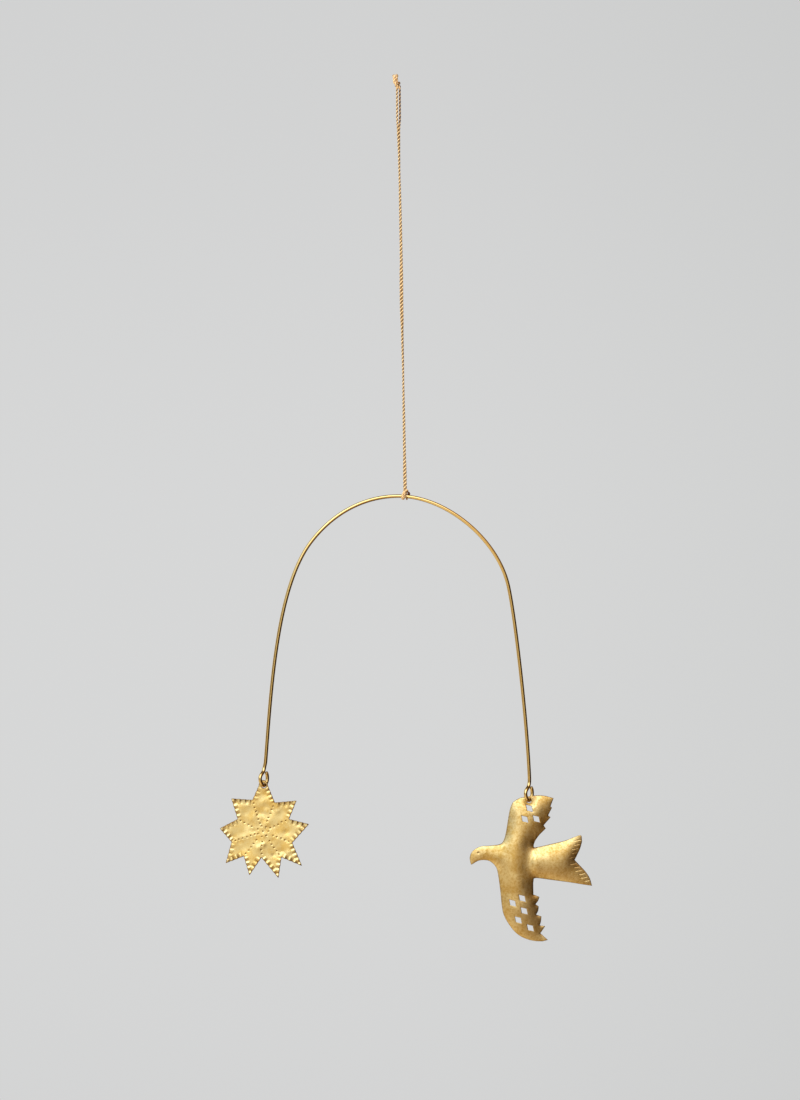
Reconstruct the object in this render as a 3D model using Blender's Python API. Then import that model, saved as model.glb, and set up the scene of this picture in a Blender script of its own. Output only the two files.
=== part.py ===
"""A hanging mobile: a brass star and a brass bird on the two ends of a bent wire, hung from a doubled cord.

Metres, +Z up. The origin is the inside of the hanging loop, under the top knot. The front faces -Y, the star is at -X.
"""

import math

import bmesh
import bpy
import numpy as np
from mathutils import Matrix, Vector
from mathutils.geometry import delaunay_2d_cdt

MM = 0.001

# Clearance between pieces that touch
GAP = 0.3 * MM

# Wire arch: each place is across and down from the point where the cord holds the wire
WIRE_D = 1.8 * MM
CORD_DROP = 204.2 * MM
STAR_LEG_ACROSS, STAR_LEG_DOWN, STAR_LEG_SLOPE = -72.0 * MM, 131.1 * MM, 84.6
STAR_BEND_ACROSS, STAR_BEND_DOWN, STAR_BEND_SLOPE = -48.0 * MM, 22.7 * MM, 52.7
TOP_ACROSS, TOP_DOWN, TOP_SLOPE = -4.1 * MM, -0.2 * MM, 0.0
BIRD_BEND_ACROSS, BIRD_BEND_DOWN, BIRD_BEND_SLOPE = 50.4 * MM, 43.9 * MM, -75.9
BIRD_LEG_ACROSS, BIRD_LEG_DOWN, BIRD_LEG_SLOPE = 59.7 * MM, 140.1 * MM, -88.3
# How far each bend reaches towards the next, as shares of the distance between them
STAR_LEG_PULLS = (0.304, 0.257)
STAR_TOP_PULLS = (0.36, 0.354)
BIRD_TOP_PULLS = (0.34, 0.334)
BIRD_LEG_PULLS = (0.133, 0.312)

# Eye bent at each end of the wire: its neck's lean and drop, then its reach to the front, the back and down
STAR_NECK_LEAN, STAR_NECK_DROP = -0.9 * MM, 4.3 * MM
BIRD_NECK_LEAN, BIRD_NECK_DROP = -0.2 * MM, 5.0 * MM
EYE_FRONT = 3.4 * MM
EYE_BACK = 2.8 * MM
EYE_DROP = 8.0 * MM
EYE_TURN = 34.0
CROSSING_TURN = 20.0
# Levels of the eye's widest place and of the wire's cut end, as shares of its drop
EYE_WAIST, EYE_TIP = 0.55, 0.17

# Holes that the eyes pass through
HOLE_R = 1.45 * MM
HOLE_SIDES = 16

# Star: points and valleys as (degrees clockwise from the top, share of the reach)
STAR_SHEET = 0.9 * MM
STAR_REACH = 26.0 * MM
STAR_HANG = 22.9 * MM
STAR_SHIFT = -0.8 * MM
# Rounded top point: half its width, how far it stands off the hole's middle, and its shift
STAR_TIP_R = 2.3 * MM
STAR_TIP_RISE = 2.8 * MM
STAR_TIP_SHIFT = -0.3 * MM
STAR_TIPS = (
    (48.4, 0.875), (82.0, 0.895), (132.5, 1.0), (162.7, 0.945),
    (198.2, 0.885), (230.6, 0.945), (275.0, 0.835), (317.0, 0.88),
)
STAR_VALLEYS = (
    (23.2, 0.60), (65.6, 0.555), (112.2, 0.605), (145.6, 0.61), (184.4, 0.505),
    (218.8, 0.605), (252.4, 0.64), (297.0, 0.545), (342.3, 0.64),
)
FLUTE_PITCH = 2.5 * MM
FLUTE_LENGTH = 2.0 * MM
FLUTE_DEPTH = 0.22 * MM
DOT_PITCH = 2.1 * MM
DOT_R = 0.4 * MM
DOT_DEPTH = 0.3 * MM
DOT_START = 1.8 * MM

# Bird: outline points from its hole, across and up, as shares of its height
BIRD_SHEET = 0.75 * MM
BIRD_HEIGHT = 73.0 * MM
BIRD_GRID = 2.3 * MM
# Dome: its height, how far in from the rim it is reached, and the flat place round the hole
BIRD_CROWN = 2.5 * MM
BIRD_ROLL = 8.0 * MM
BIRD_FLAT_R = 7.0 * MM
# Soft fold across the root of the tail: its two ends, half its width, and the share of the dome it takes
TAIL_ROOT = ((0.034, -0.315), (0.030, -0.537))
TAIL_FOLD_WIDE = 3.4 * MM
TAIL_FOLD_SHARE = 0.5
LOZENGE_LONG, LOZENGE_LEAN = 4.9 * MM, -47.0
LOZENGE_SHORT, LOZENGE_TILT = 3.1 * MM, 43.0

# Cord: two strands, with stations as (depth, half the space between the strands, degrees of twist)
STRAND_D = 0.9 * MM
STRAND_SPREAD = 1.6 * MM
STRAND_POINTS = 38
STATIONS = (
    (0.0, 1.0, 0.0), (14.0, 1.0, 2.0), (22.0, 0.0, 20.0), (61.0, 0.0, 90.0), (91.0, 0.0, 180.0),
    (128.0, 0.0, 225.0), (147.0, 0.0, 275.0), (166.0, 0.0, 450.0), (201.0, 0.0, 610.0),
)

# Knots
TOP_KNOT_SEAT = 0.6 * MM
TOP_KNOT_SIZE = (3.6 * MM, 2.8 * MM, 3.2 * MM)
TAIL_D = 1.1 * MM
WRAP_D = 0.75 * MM
WRAP_SPREAD = 2.1 * MM
WRAP_LEAN = 0.2 * MM
COLLAR_TALL = 2.2 * MM
ARCH_KNOT_WIDE, ARCH_KNOT_THICK = 3.6 * MM, 2.6 * MM

BRASS = (0.78, 0.56, 0.24)
PALE_BRASS = (0.85, 0.66, 0.34)
CORD_GOLD = (0.70, 0.50, 0.26)


def clear_scene():
    for obj in list(bpy.data.objects):
        bpy.data.objects.remove(obj)


def material(name, colour, metallic, roughness):
    made = bpy.data.materials.new(name)
    made.use_nodes = True
    shader = made.node_tree.nodes["Principled BSDF"]
    shader.inputs["Base Color"].default_value = (*colour, 1.0)
    shader.inputs["Metallic"].default_value = metallic
    shader.inputs["Roughness"].default_value = roughness
    return made


def add_object(name, data, finish, origin=(0.0, 0.0, 0.0)):
    """Links an object and moves its origin to a point, leaving its shape where it was modelled."""
    obj = bpy.data.objects.new(name, data)
    bpy.context.scene.collection.objects.link(obj)
    data.materials.append(finish)
    data.transform(Matrix.Translation(-Vector(origin)))
    obj.location = origin
    return obj


def add_mesh(name, built, finish, origin=(0.0, 0.0, 0.0), smooth_below=40.0):
    bmesh.ops.recalc_face_normals(built, faces=built.faces)
    mesh = bpy.data.meshes.new(name)
    built.to_mesh(mesh)
    built.free()
    mesh.shade_smooth()
    mesh.set_sharp_from_angle(angle=math.radians(smooth_below))
    return add_object(name, mesh, finish, origin)


def add_tube(name, points, diameter, finish, round_steps, origin=(0.0, 0.0, 0.0)):
    """A round tube with closed ends along a row of points."""
    curve = bpy.data.curves.new(name, "CURVE")
    curve.dimensions = "3D"
    curve.bevel_depth = diameter / 2
    curve.bevel_resolution = round_steps
    curve.use_fill_caps = True
    spline = curve.splines.new("POLY")
    spline.points.add(len(points) - 1)
    for slot, point in zip(spline.points, points):
        slot.co = (*point, 1.0)
    return add_object(name, curve, finish, origin)


def fuse(base, *others):
    """Joins other objects into a base object as one body."""
    for other in others:
        other.hide_render = True
        other.display_type = "WIRE"
        union = base.modifiers.new("fuse_" + other.name, "BOOLEAN")
        union.operation = "UNION"
        union.solver = "EXACT"
        union.object = other


def direction(degrees):
    """A unit step in the XZ plane, at an angle up from +X."""
    return Vector((math.cos(math.radians(degrees)), 0.0, math.sin(math.radians(degrees))))


def across_eye(turn):
    """A unit step through an eye from front to back, turned from +Y towards +X."""
    return Vector((math.sin(math.radians(turn)), math.cos(math.radians(turn)), 0.0))


def bezier(start, pull_start, pull_end, end, steps):
    """Points along a cubic curve, without its first one."""
    made = []
    for i in range(1, steps + 1):
        t = i / steps
        made.append(
            start * (1 - t) ** 3 + pull_start * 3 * t * (1 - t) ** 2
            + pull_end * 3 * t * t * (1 - t) + end * t ** 3
        )
    return made


def bend(start, start_way, end, end_way, pulls, steps):
    """A cubic curve between two places, leaving and arriving along given directions."""
    reach = (end - start).length
    return bezier(start, start + start_way * reach * pulls[0], end - end_way * reach * pulls[1], end, steps)


def through(points, closed, steps):
    """A smooth curve through points, as a Catmull-Rom spline."""
    ring = list(points)
    count = len(ring) if closed else len(ring) - 1
    made = []
    for i in range(count):
        if closed:
            a, b, c, d = (ring[(i + k) % len(ring)] for k in (-1, 0, 1, 2))
        else:
            a, b, c, d = (ring[min(max(i + k, 0), len(ring) - 1)] for k in (-1, 0, 1, 2))
        for k in range(steps):
            t = k / steps
            made.append(
                0.5 * (2 * b + (c - a) * t + (2 * a - 5 * b + 4 * c - d) * t * t
                       + (3 * b - a - 3 * c + d) * t ** 3)
            )
    if not closed:
        made.append(ring[-1])
    return made


# Wire arch

def at_wire(across, down):
    return Vector((across, 0.0, -CORD_DROP - down))


def leg_and_neck(name):
    """The end of a leg, the direction down it, and the neck of its eye."""
    if name == "star":
        leg = at_wire(STAR_LEG_ACROSS, STAR_LEG_DOWN)
        return leg, -direction(STAR_LEG_SLOPE), leg + Vector((STAR_NECK_LEAN, 0.0, -STAR_NECK_DROP))
    leg = at_wire(BIRD_LEG_ACROSS, BIRD_LEG_DOWN)
    return leg, direction(BIRD_LEG_SLOPE), leg + Vector((BIRD_NECK_LEAN, 0.0, -BIRD_NECK_DROP))


def eye_bottom(name):
    """The middle of the wire where it passes through a pendant's hole."""
    neck = leg_and_neck(name)[2]
    return neck + across_eye(EYE_TURN) * (EYE_BACK - EYE_FRONT) / 2 - Vector((0.0, 0.0, EYE_DROP))


def eye_route(name):
    """The wire's middle line from the end of a leg, round the eye, to the cut end of the wire."""
    leg, leg_way, neck = leg_and_neck(name)
    through_eye = across_eye(EYE_TURN)
    crossing = across_eye(CROSSING_TURN)
    down = Vector((0.0, 0.0, -1.0))
    neck_way = (down * 3 - through_eye).normalized()
    front = neck - through_eye * EYE_FRONT + down * EYE_DROP * EYE_WAIST
    bottom = eye_bottom(name)
    back = neck + through_eye * EYE_BACK + down * EYE_DROP * EYE_WAIST
    tip = neck + through_eye * (WIRE_D + GAP / 3) + down * EYE_DROP * EYE_TIP
    tip_way = (-through_eye - down * 1.7).normalized()
    route = bend(leg, leg_way, neck, neck_way, (0.35, 0.35), 3)
    route += bend(neck, neck_way, front, down, (0.35, 0.38), 5)
    route += bend(front, down, bottom, crossing, (0.42, 0.40), 6)
    route += bend(bottom, crossing, back, -down, (0.40, 0.42), 6)
    route += bend(back, -down, tip, tip_way, (0.40, 0.35), 4)
    return route


def wire_route():
    star_leg, star_down, _ = leg_and_neck("star")
    bird_leg, bird_down, _ = leg_and_neck("bird")
    star_bend, star_bend_way = at_wire(STAR_BEND_ACROSS, STAR_BEND_DOWN), direction(STAR_BEND_SLOPE)
    top, top_way = at_wire(TOP_ACROSS, TOP_DOWN), direction(TOP_SLOPE)
    bird_bend, bird_bend_way = at_wire(BIRD_BEND_ACROSS, BIRD_BEND_DOWN), direction(BIRD_BEND_SLOPE)
    route = eye_route("star")[::-1]
    route.append(star_leg)
    route += bend(star_leg, -star_down, star_bend, star_bend_way, STAR_LEG_PULLS, 12)
    route += bend(star_bend, star_bend_way, top, top_way, STAR_TOP_PULLS, 11)
    route += bend(top, top_way, bird_bend, bird_bend_way, BIRD_TOP_PULLS, 15)
    route += bend(bird_bend, bird_bend_way, bird_leg, bird_down, BIRD_LEG_PULLS, 9)
    return route + eye_route("bird")


def wire_under_cord(route):
    """The middle of the wire, and its direction, where the cord's line meets it."""
    for a, b in zip(route, route[1:]):
        if a.x <= 0.0 < b.x and a.z > -CORD_DROP * 1.2:
            return a.lerp(b, -a.x / (b.x - a.x)), (b - a).normalized()
    raise ValueError("the wire doesn't pass under the cord")


def make_wire(finish, route):
    return add_tube("wire_arch", route, WIRE_D, finish, 3, wire_under_cord(route)[0])


# Sheets: everything flat is worked out in millimetres across and up, then placed

def polyline_distance(points, loops):
    """The distance from each point to the nearest of several closed outlines."""
    points = np.asarray(points, float).reshape(-1, 2)
    best = np.full(len(points), 1e9)
    for loop in loops:
        a = np.asarray(loop, float)
        step = np.roll(a, -1, axis=0) - a
        for start, along in zip(a, step):
            t = np.clip(((points - start) @ along) / max(along @ along, 1e-12), 0.0, 1.0)
            best = np.minimum(best, np.linalg.norm(points - start - t[:, None] * along, axis=1))
    return best


def inside(points, loop):
    """Whether each point is inside a closed outline."""
    points = np.asarray(points, float).reshape(-1, 2)
    a = np.asarray(loop, float)
    b = np.roll(a, -1, axis=0)
    crossed = np.zeros(len(points), int)
    for (x0, z0), (x1, z1) in zip(a, b):
        if z0 != z1:
            between = (z0 > points[:, 1]) != (z1 > points[:, 1])
            crossed += between & (points[:, 0] < x0 + (points[:, 1] - z0) / (z1 - z0) * (x1 - x0))
    return crossed % 2 == 1


def sheet_body(rim, holes, inner, relief, thickness, place):
    """A closed sheet: its outline, its holes and the points inside it, pushed forward by its relief.

    The relief takes a row of places across and up, and gives how far each is pushed forward.
    """
    loops = [rim, *holes]
    points = [Vector(p) for loop in loops for p in loop] + [Vector(p) for p in inner]
    edges, first = [], 0
    for loop in loops:
        edges += [(first + i, first + (i + 1) % len(loop)) for i in range(len(loop))]
        first += len(loop)
    flat, _, faces, *_ = delaunay_2d_cdt(points, edges, [], 1, 1e-6)
    flat = np.array([tuple(p) for p in flat])
    middle = np.array([flat[list(f)].mean(axis=0) for f in faces])
    kept = inside(middle, rim)
    for hole in holes:
        kept &= ~inside(middle, hole)
    built = bmesh.new()
    sides = []
    for half in (-thickness / MM / 2, thickness / MM / 2):
        sides.append([
            built.verts.new(place + Vector((x, half - push, z)) * MM)
            for (x, z), push in zip(flat, relief(flat))
        ])
    used = set()
    for a, b, c in (f for f, keep in zip(faces, kept) if keep):
        built.faces.new((sides[0][a], sides[0][b], sides[0][c]))
        built.faces.new((sides[1][c], sides[1][b], sides[1][a]))
        used |= {(a, b), (b, c), (c, a)}
    for a, b in sorted(used):
        if (b, a) not in used:
            built.faces.new((sides[0][b], sides[0][a], sides[1][a], sides[1][b]))
    bmesh.ops.delete(built, geom=[v for v in built.verts if not v.link_faces], context="VERTS")
    return built


def ring(centre, radius, sides, turn=0.0):
    angles = [2 * math.pi * (i + turn) / sides for i in range(sides)]
    return [(centre[0] + radius * math.cos(a), centre[1] + radius * math.sin(a)) for a in angles]


def hole_centre():
    """The middle of a pendant's hole, below the wire that carries it."""
    return 0.0, (WIRE_D / 2 + GAP - HOLE_R) / MM


# Star

def star_polar(degrees, share):
    angle = math.radians(degrees)
    reach = STAR_REACH * share / MM
    return Vector((STAR_SHIFT / MM + reach * math.sin(angle), -STAR_HANG / MM + reach * math.cos(angle)))


def star_corners():
    """Valleys and points in turn, clockwise from the valley after the top point to the one before it."""
    made = [star_polar(*STAR_VALLEYS[0])]
    for tip, valley in zip(STAR_TIPS, STAR_VALLEYS[1:]):
        made += [star_polar(*tip), star_polar(*valley)]
    return made


def star_top():
    """The rounded top point round the hole, clockwise."""
    x, z = hole_centre()
    steps = 10
    made = []
    for i in range(steps + 1):
        angle = math.pi * (1 - i / steps)
        across = (STAR_TIP_SHIFT + STAR_TIP_R * math.cos(angle)) / MM
        made.append(Vector((x + across, z + STAR_TIP_RISE / MM * math.sin(angle))))
    return made


def fluted(start, end):
    """Points along one edge with each flute's ridge and groove, as (point, forward push)."""
    flutes = max(2, round((end - start).length * MM / FLUTE_PITCH))
    steps = 2 * flutes
    return [
        (start.lerp(end, i / steps), FLUTE_DEPTH / MM * (1 if i % 2 else -1))
        for i in range(1, steps)
    ]


def star_rim():
    """The whole outline, as (point, forward push)."""
    corners = star_corners()
    made = []
    for start, end in zip(corners, corners[1:]):
        made += [(start, 0.0), *fluted(start, end)]
    top = star_top()
    made += [(corners[-1], 0.0), *fluted(corners[-1], top[0])]
    made += [(p, 0.0) for p in top]
    return made + fluted(top[-1], corners[0])


def star_dots():
    """Punched dots in a row from each valley to the middle, with a small ring about the middle."""
    middle = star_polar(0.0, 0.0)
    made = [middle, *(Vector(p) for p in ring(middle, 1.3 * DOT_PITCH / MM, 7))]
    for valley in STAR_VALLEYS:
        start = star_polar(*valley)
        inward = (middle - start).normalized()
        room = (middle - start).length * MM - 2 * DOT_PITCH - DOT_START
        made += [start + inward * (DOT_START + DOT_PITCH * i) / MM for i in range(int(room / DOT_PITCH) + 1)]
    return made


def flute_feet(rim, outline, hole):
    """Where the flutes die out: a point inward of each outline point, where there is room for it."""
    reach = FLUTE_LENGTH / MM
    feet = []
    for (a, _), (b, _), (c, _) in zip(rim, rim[1:] + rim[:1], rim[2:] + rim[:2]):
        along = (c - a).normalized()
        feet.append(b + Vector((along.y, -along.x)) * reach)
    clear = polyline_distance(feet, [outline]) > 0.93 * reach
    clear &= polyline_distance(feet, [hole]) > DOT_R / MM
    clear &= inside(feet, outline)
    kept = []
    for foot, good in zip(feet, clear):
        if good and all((foot - other).length > 0.35 * FLUTE_PITCH / MM for other in kept):
            kept.append(foot)
    return kept


def make_star(finish, pivot):
    rim = star_rim()
    outline = [tuple(p) for p, _ in rim]
    hole = ring(hole_centre(), HOLE_R / MM, HOLE_SIDES)
    dots = star_dots()
    inner = [p for p in flute_feet(rim, outline, hole)
             if all((p - dot).length > 2 * DOT_R / MM for dot in dots)]
    for dot in dots:
        inner += ring(dot, DOT_R / MM, 5)
    raised = {tuple(p): push for p, push in rim} | {tuple(dot): -DOT_DEPTH / MM for dot in dots}
    places = np.array(list(raised))
    pushes = np.array(list(raised.values()))

    def relief(flat):
        away = np.linalg.norm(flat[:, None] - places[None], axis=2)
        nearest = away.argmin(axis=1)
        return np.where(away.min(axis=1) < 0.01, pushes[nearest], 0.0)

    built = sheet_body(outline, [hole], [*inner, *dots], relief, STAR_SHEET, pivot)
    return add_mesh("star", built, finish, pivot, 25.0)


# Bird: each run is a smooth curve through its points, and runs meet at corners

BIRD_RUNS = (
    # Upper edge of the head, back of the neck and front edge of the upper wing
    ((-0.404, -0.434), (-0.412, -0.384), (-0.391, -0.340), (-0.338, -0.310), (-0.272, -0.305), (-0.205, -0.296),
     (-0.178, -0.270), (-0.160, -0.209), (-0.136, -0.078), (-0.119, -0.027), (-0.103, -0.005), (-0.058, 0.019),
     (0.007, 0.030), (0.055, 0.034), (0.110, 0.030), (0.169, 0.013)),
    # Notched edge of the upper wing
    ((0.147, -0.043), (0.157, -0.052)),
    ((0.130, -0.104), (0.146, -0.118)),
    ((0.098, -0.172), (0.112, -0.194)),
    # Back of the upper wing into the top of the tail
    ((0.068, -0.236), (0.040, -0.274), (0.027, -0.314), (0.048, -0.321), (0.160, -0.298), (0.244, -0.279),
     (0.307, -0.256), (0.343, -0.244), (0.357, -0.250)),
    # Forked end of the tail
    ((0.359, -0.288), (0.342, -0.342), (0.306, -0.413)),
    ((0.342, -0.452), (0.381, -0.496), (0.408, -0.540), (0.422, -0.592)),
    # Under side of the tail
    ((0.348, -0.580), (0.270, -0.566), (0.152, -0.548), (0.052, -0.533), (0.024, -0.536)),
    ((0.020, -0.565), (0.020, -0.645)),
    # Notched edge of the lower wing
    ((0.061, -0.662), (0.050, -0.690), (0.033, -0.711)),
    ((0.055, -0.728), (0.050, -0.758), (0.036, -0.783)),
    ((0.072, -0.796), (0.068, -0.830), (0.060, -0.857)),
    ((0.097, -0.863), (0.063, -0.911)),
    ((0.113, -0.958),),
    # Front edge of the lower wing, breast and throat
    ((0.077, -0.967), (0.014, -0.962), (-0.049, -0.942), (-0.104, -0.906), (-0.149, -0.850), (-0.182, -0.790),
     (-0.197, -0.727), (-0.208, -0.603), (-0.224, -0.482), (-0.244, -0.439), (-0.277, -0.411), (-0.315, -0.403),
     (-0.355, -0.408), (-0.386, -0.425)),
)
BIRD_LOZENGES = (
    (0.002, -0.053), (-0.031, -0.126), (0.048, -0.126), (-0.058, -0.667), (-0.124, -0.699),
    (-0.046, -0.754), (-0.087, -0.816), (-0.005, -0.872),
)


def bird_point(share):
    return Vector(share) * BIRD_HEIGHT / MM


def bird_rim():
    made = []
    for run in BIRD_RUNS:
        points = [bird_point(p) for p in run]
        made += through(points, False, 2) if len(points) > 2 else points
    return made


def lozenge(centre):
    """A leaning four-sided hole."""
    long = direction(LOZENGE_LEAN).xz * LOZENGE_LONG / MM / 2
    short = direction(LOZENGE_TILT).xz * LOZENGE_SHORT / MM / 2
    return [tuple(bird_point(centre) + v) for v in (long, short, -long, -short)]


def bird_crown(points, outline):
    """How far the domed sheet stands forward of its rim."""
    depth = np.clip(polyline_distance(points, [outline]) * MM / BIRD_ROLL, 0.0, 1.0)
    root = [bird_point(end) for end in TAIL_ROOT]
    fold = np.exp(-(polyline_distance(points, [root]) * MM / TAIL_FOLD_WIDE) ** 2)
    return BIRD_CROWN / MM * (1.0 - (1.0 - depth) ** 2) * (1.0 - TAIL_FOLD_SHARE * fold)


def staggered(outline, grid):
    """Rows of points over the box of an outline, each row set half a step along from the last."""
    low, high = np.min(outline, axis=0), np.max(outline, axis=0)
    rise = grid * math.sqrt(0.75)
    rows, columns = (int(span / step) + 1 for span, step in zip((high - low)[::-1], (rise, grid)))
    return [
        (low[0] + grid * (column + (row % 2) / 2), low[1] + rise * row)
        for row in range(rows) for column in range(columns)
    ]


def make_bird(finish, pivot):
    outline = [tuple(p) for p in bird_rim()]
    holes = [ring(hole_centre(), HOLE_R / MM, HOLE_SIDES)] + [lozenge(c) for c in BIRD_LOZENGES]
    inner = np.array(staggered(outline, BIRD_GRID / MM))
    inner = inner[inside(inner, outline)]
    inner = inner[polyline_distance(inner, [outline, *holes]) > BIRD_GRID / MM / 2]
    for hole in holes:
        inner = inner[~inside(inner, hole)]
    rise = bird_crown([hole_centre()], outline)[0]

    def relief(flat):
        away = np.linalg.norm(flat - np.array(hole_centre()), axis=1) * MM
        free = np.clip((away - HOLE_R) / (BIRD_FLAT_R - HOLE_R), 0.0, 1.0)
        return (bird_crown(flat, outline) - rise) * free

    built = sheet_body(outline, holes, [tuple(p) for p in inner], relief, BIRD_SHEET, pivot)
    return add_mesh("bird", built, finish, pivot, 35.0)


# Cord

def strand_points(wire, side):
    """One strand's middle line: beside the other at the top, and wound round it below."""
    end = wire.z + WIRE_D / 2 + GAP + COLLAR_TALL + GAP
    start = TOP_KNOT_SEAT - GAP
    depths = [s[0] for s in STATIONS]
    made = []
    for i in range(STRAND_POINTS):
        z = start + (end - start) * i / (STRAND_POINTS - 1)
        share = (start - z) / (start - end) * depths[-1]
        opening = np.interp(share, depths, [s[1] for s in STATIONS])
        twist = math.radians(np.interp(share, depths, [s[2] for s in STATIONS]))
        close = (STRAND_D + GAP) / 2
        away = close + (STRAND_SPREAD / 2 - close) * opening
        made.append(Vector((side * away * math.cos(twist), side * away * math.sin(twist), z)))
    return made


def make_strands(finish, wire):
    for name, side in (("cord_strand_left", -1.0), ("cord_strand_right", 1.0)):
        add_tube(name, strand_points(wire, side), STRAND_D, finish, 2)


def blob(name, size, place, finish, segments=14, rings=9):
    """A rounded lump."""
    built = bmesh.new()
    bmesh.ops.create_uvsphere(built, u_segments=segments, v_segments=rings, radius=0.5)
    bmesh.ops.scale(built, vec=size, verts=built.verts)
    bmesh.ops.translate(built, vec=place, verts=built.verts)
    return add_mesh(name, built, finish)


def rod(name, points, diameter, finish, sides=10):
    """A round rod along points, as a closed mesh with rounded-off ends."""
    built = bmesh.new()
    rings = []
    for i, point in enumerate(points):
        way = (points[min(i + 1, len(points) - 1)] - points[max(i - 1, 0)]).normalized()
        across = way.cross(Vector((0.0, 1.0, 0.0))).normalized()
        other = way.cross(across)
        rings.append([
            built.verts.new(point + (across * math.cos(a) + other * math.sin(a)) * diameter / 2)
            for a in (2 * math.pi * k / sides for k in range(sides))
        ])
    for low, high in zip(rings, rings[1:]):
        for k in range(sides):
            built.faces.new((low[k], low[(k + 1) % sides], high[(k + 1) % sides], high[k]))
    built.faces.new(rings[0])
    built.faces.new(rings[-1])
    return add_mesh(name, built, finish)


def hoop(name, place, way, inner_r, diameter, lean, finish):
    """One turn of cord round the wire."""
    built = bmesh.new()
    across = way.cross(Vector((0.0, 1.0, 0.0))).normalized()
    round_steps, sides = 18, 8
    rings = []
    for i in range(round_steps):
        angle = 2 * math.pi * i / round_steps
        out = across * math.cos(angle) + Vector((0.0, 1.0, 0.0)) * math.sin(angle)
        middle = place + out * (inner_r + diameter / 2) + way * lean * math.cos(angle)
        rings.append([
            built.verts.new(middle + (out * math.cos(a) + way * math.sin(a)) * diameter / 2)
            for a in (2 * math.pi * k / sides for k in range(sides))
        ])
    for i in range(round_steps):
        low, high = rings[i], rings[(i + 1) % round_steps]
        for k in range(sides):
            built.faces.new((low[k], low[(k + 1) % sides], high[(k + 1) % sides], high[k]))
    return add_mesh(name, built, finish)


def make_top_knot(finish):
    """A tight knot with two short tails, over the hanging loop."""
    wide, thick, tall = TOP_KNOT_SIZE
    base = blob("top_knot", (wide, thick, tall), (-0.1 * wide, 0.0, TOP_KNOT_SEAT + tall * 0.47), finish)
    seat = rod(
        "knot_seat", [Vector((0.0, 0.0, TOP_KNOT_SEAT)), Vector((0.0, 0.0, TOP_KNOT_SEAT + tall / 2))],
        STRAND_SPREAD + STRAND_D, finish, 14,
    )
    top = TOP_KNOT_SEAT + tall
    tails = []
    for name, steps in (
        ("left_tail", ((-0.30, -0.45), (-0.42, 0.25), (-0.50, 0.80), (-0.78, 1.15))),
        ("right_tail", ((-0.12, -0.45), (-0.18, 0.35), (-0.10, 0.95), (-0.12, 1.50))),
    ):
        route = [Vector((wide * x, 0.0, top + 0.76 * tall * z)) for x, z in steps]
        tails.append(rod(name, through(route, False, 3), TAIL_D, finish))
    fuse(base, seat, *tails)


def make_arch_knot(finish, wire, way):
    """Two turns of cord round the wire under a rounded knot with a flat collar."""
    inner_r = WIRE_D / 2 + GAP
    crown = wire.z + inner_r
    size = (ARCH_KNOT_WIDE, ARCH_KNOT_THICK, 0.9 * COLLAR_TALL)
    base = blob("arch_knot", size, (0.0, 0.0, crown + COLLAR_TALL * 0.5), finish)
    collar = rod(
        "knot_collar", [Vector((0.0, 0.0, crown + COLLAR_TALL * share)) for share in (0.3, 1.0)],
        2 * STRAND_D + GAP, finish, 14,
    )
    turns = []
    for name, side in (("left_turn", -0.5), ("right_turn", 0.5)):
        place = wire + way * side * WRAP_SPREAD
        turns.append(hoop(name, place, way, inner_r, WRAP_D, -2 * side * WRAP_LEAN, finish))
    fuse(base, collar, *turns)


def main():
    clear_scene()
    brass = material("brass_wire", BRASS, 1.0, 0.3)
    star_brass = material("hammered_brass", PALE_BRASS, 1.0, 0.35)
    bird_brass = material("brushed_brass", BRASS, 1.0, 0.4)
    gold = material("gold_cord", CORD_GOLD, 0.0, 0.7)
    route = wire_route()
    wire, way = wire_under_cord(route)
    make_wire(brass, route)
    make_star(star_brass, eye_bottom("star"))
    make_bird(bird_brass, eye_bottom("bird"))
    make_strands(gold, wire)
    make_top_knot(gold)
    make_arch_knot(gold, wire, way)


main()
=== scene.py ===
"""The looks of a hanging mobile: a star and a bird of brass on a bent wire and a doubled gold cord.

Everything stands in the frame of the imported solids: metres, +Z up, the front faces -Y, the origin is the
inside of the hanging loop. Shapes are worked out in millimetres and scaled when their meshes are made.
"""

import logging
import math
from dataclasses import dataclass
from enum import Enum
from typing import ClassVar

import bpy
import numpy as np
from mathutils import Matrix, Vector
from mathutils.geometry import delaunay_2d_cdt
from mathutils.kdtree import KDTree


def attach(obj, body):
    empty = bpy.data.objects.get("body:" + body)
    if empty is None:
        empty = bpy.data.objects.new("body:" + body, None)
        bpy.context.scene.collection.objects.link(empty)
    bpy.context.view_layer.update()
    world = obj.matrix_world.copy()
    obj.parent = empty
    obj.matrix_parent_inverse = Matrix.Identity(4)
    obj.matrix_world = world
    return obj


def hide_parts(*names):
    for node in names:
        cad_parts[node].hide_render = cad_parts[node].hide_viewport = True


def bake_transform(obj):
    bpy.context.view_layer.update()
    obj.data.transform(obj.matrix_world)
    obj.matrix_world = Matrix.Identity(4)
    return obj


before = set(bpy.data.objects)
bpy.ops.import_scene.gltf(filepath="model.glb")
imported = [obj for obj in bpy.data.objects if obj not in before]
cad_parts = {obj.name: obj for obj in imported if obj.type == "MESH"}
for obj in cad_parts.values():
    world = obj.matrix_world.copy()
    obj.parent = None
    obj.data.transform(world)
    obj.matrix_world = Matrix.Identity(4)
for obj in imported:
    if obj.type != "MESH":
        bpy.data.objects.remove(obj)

MM = 0.001
Points = np.ndarray
Colour = tuple[float, float, float]
log = logging.getLogger("mobile")


class Pendant(Enum):
    """The two ornaments, by the CAD body that each one is."""

    STAR = "star"
    BIRD = "bird"


class Side(Enum):
    """The two strands of the cord, as a step across."""

    LEFT = -1.0
    RIGHT = 1.0


# Curves, as rows of points in millimetres

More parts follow.
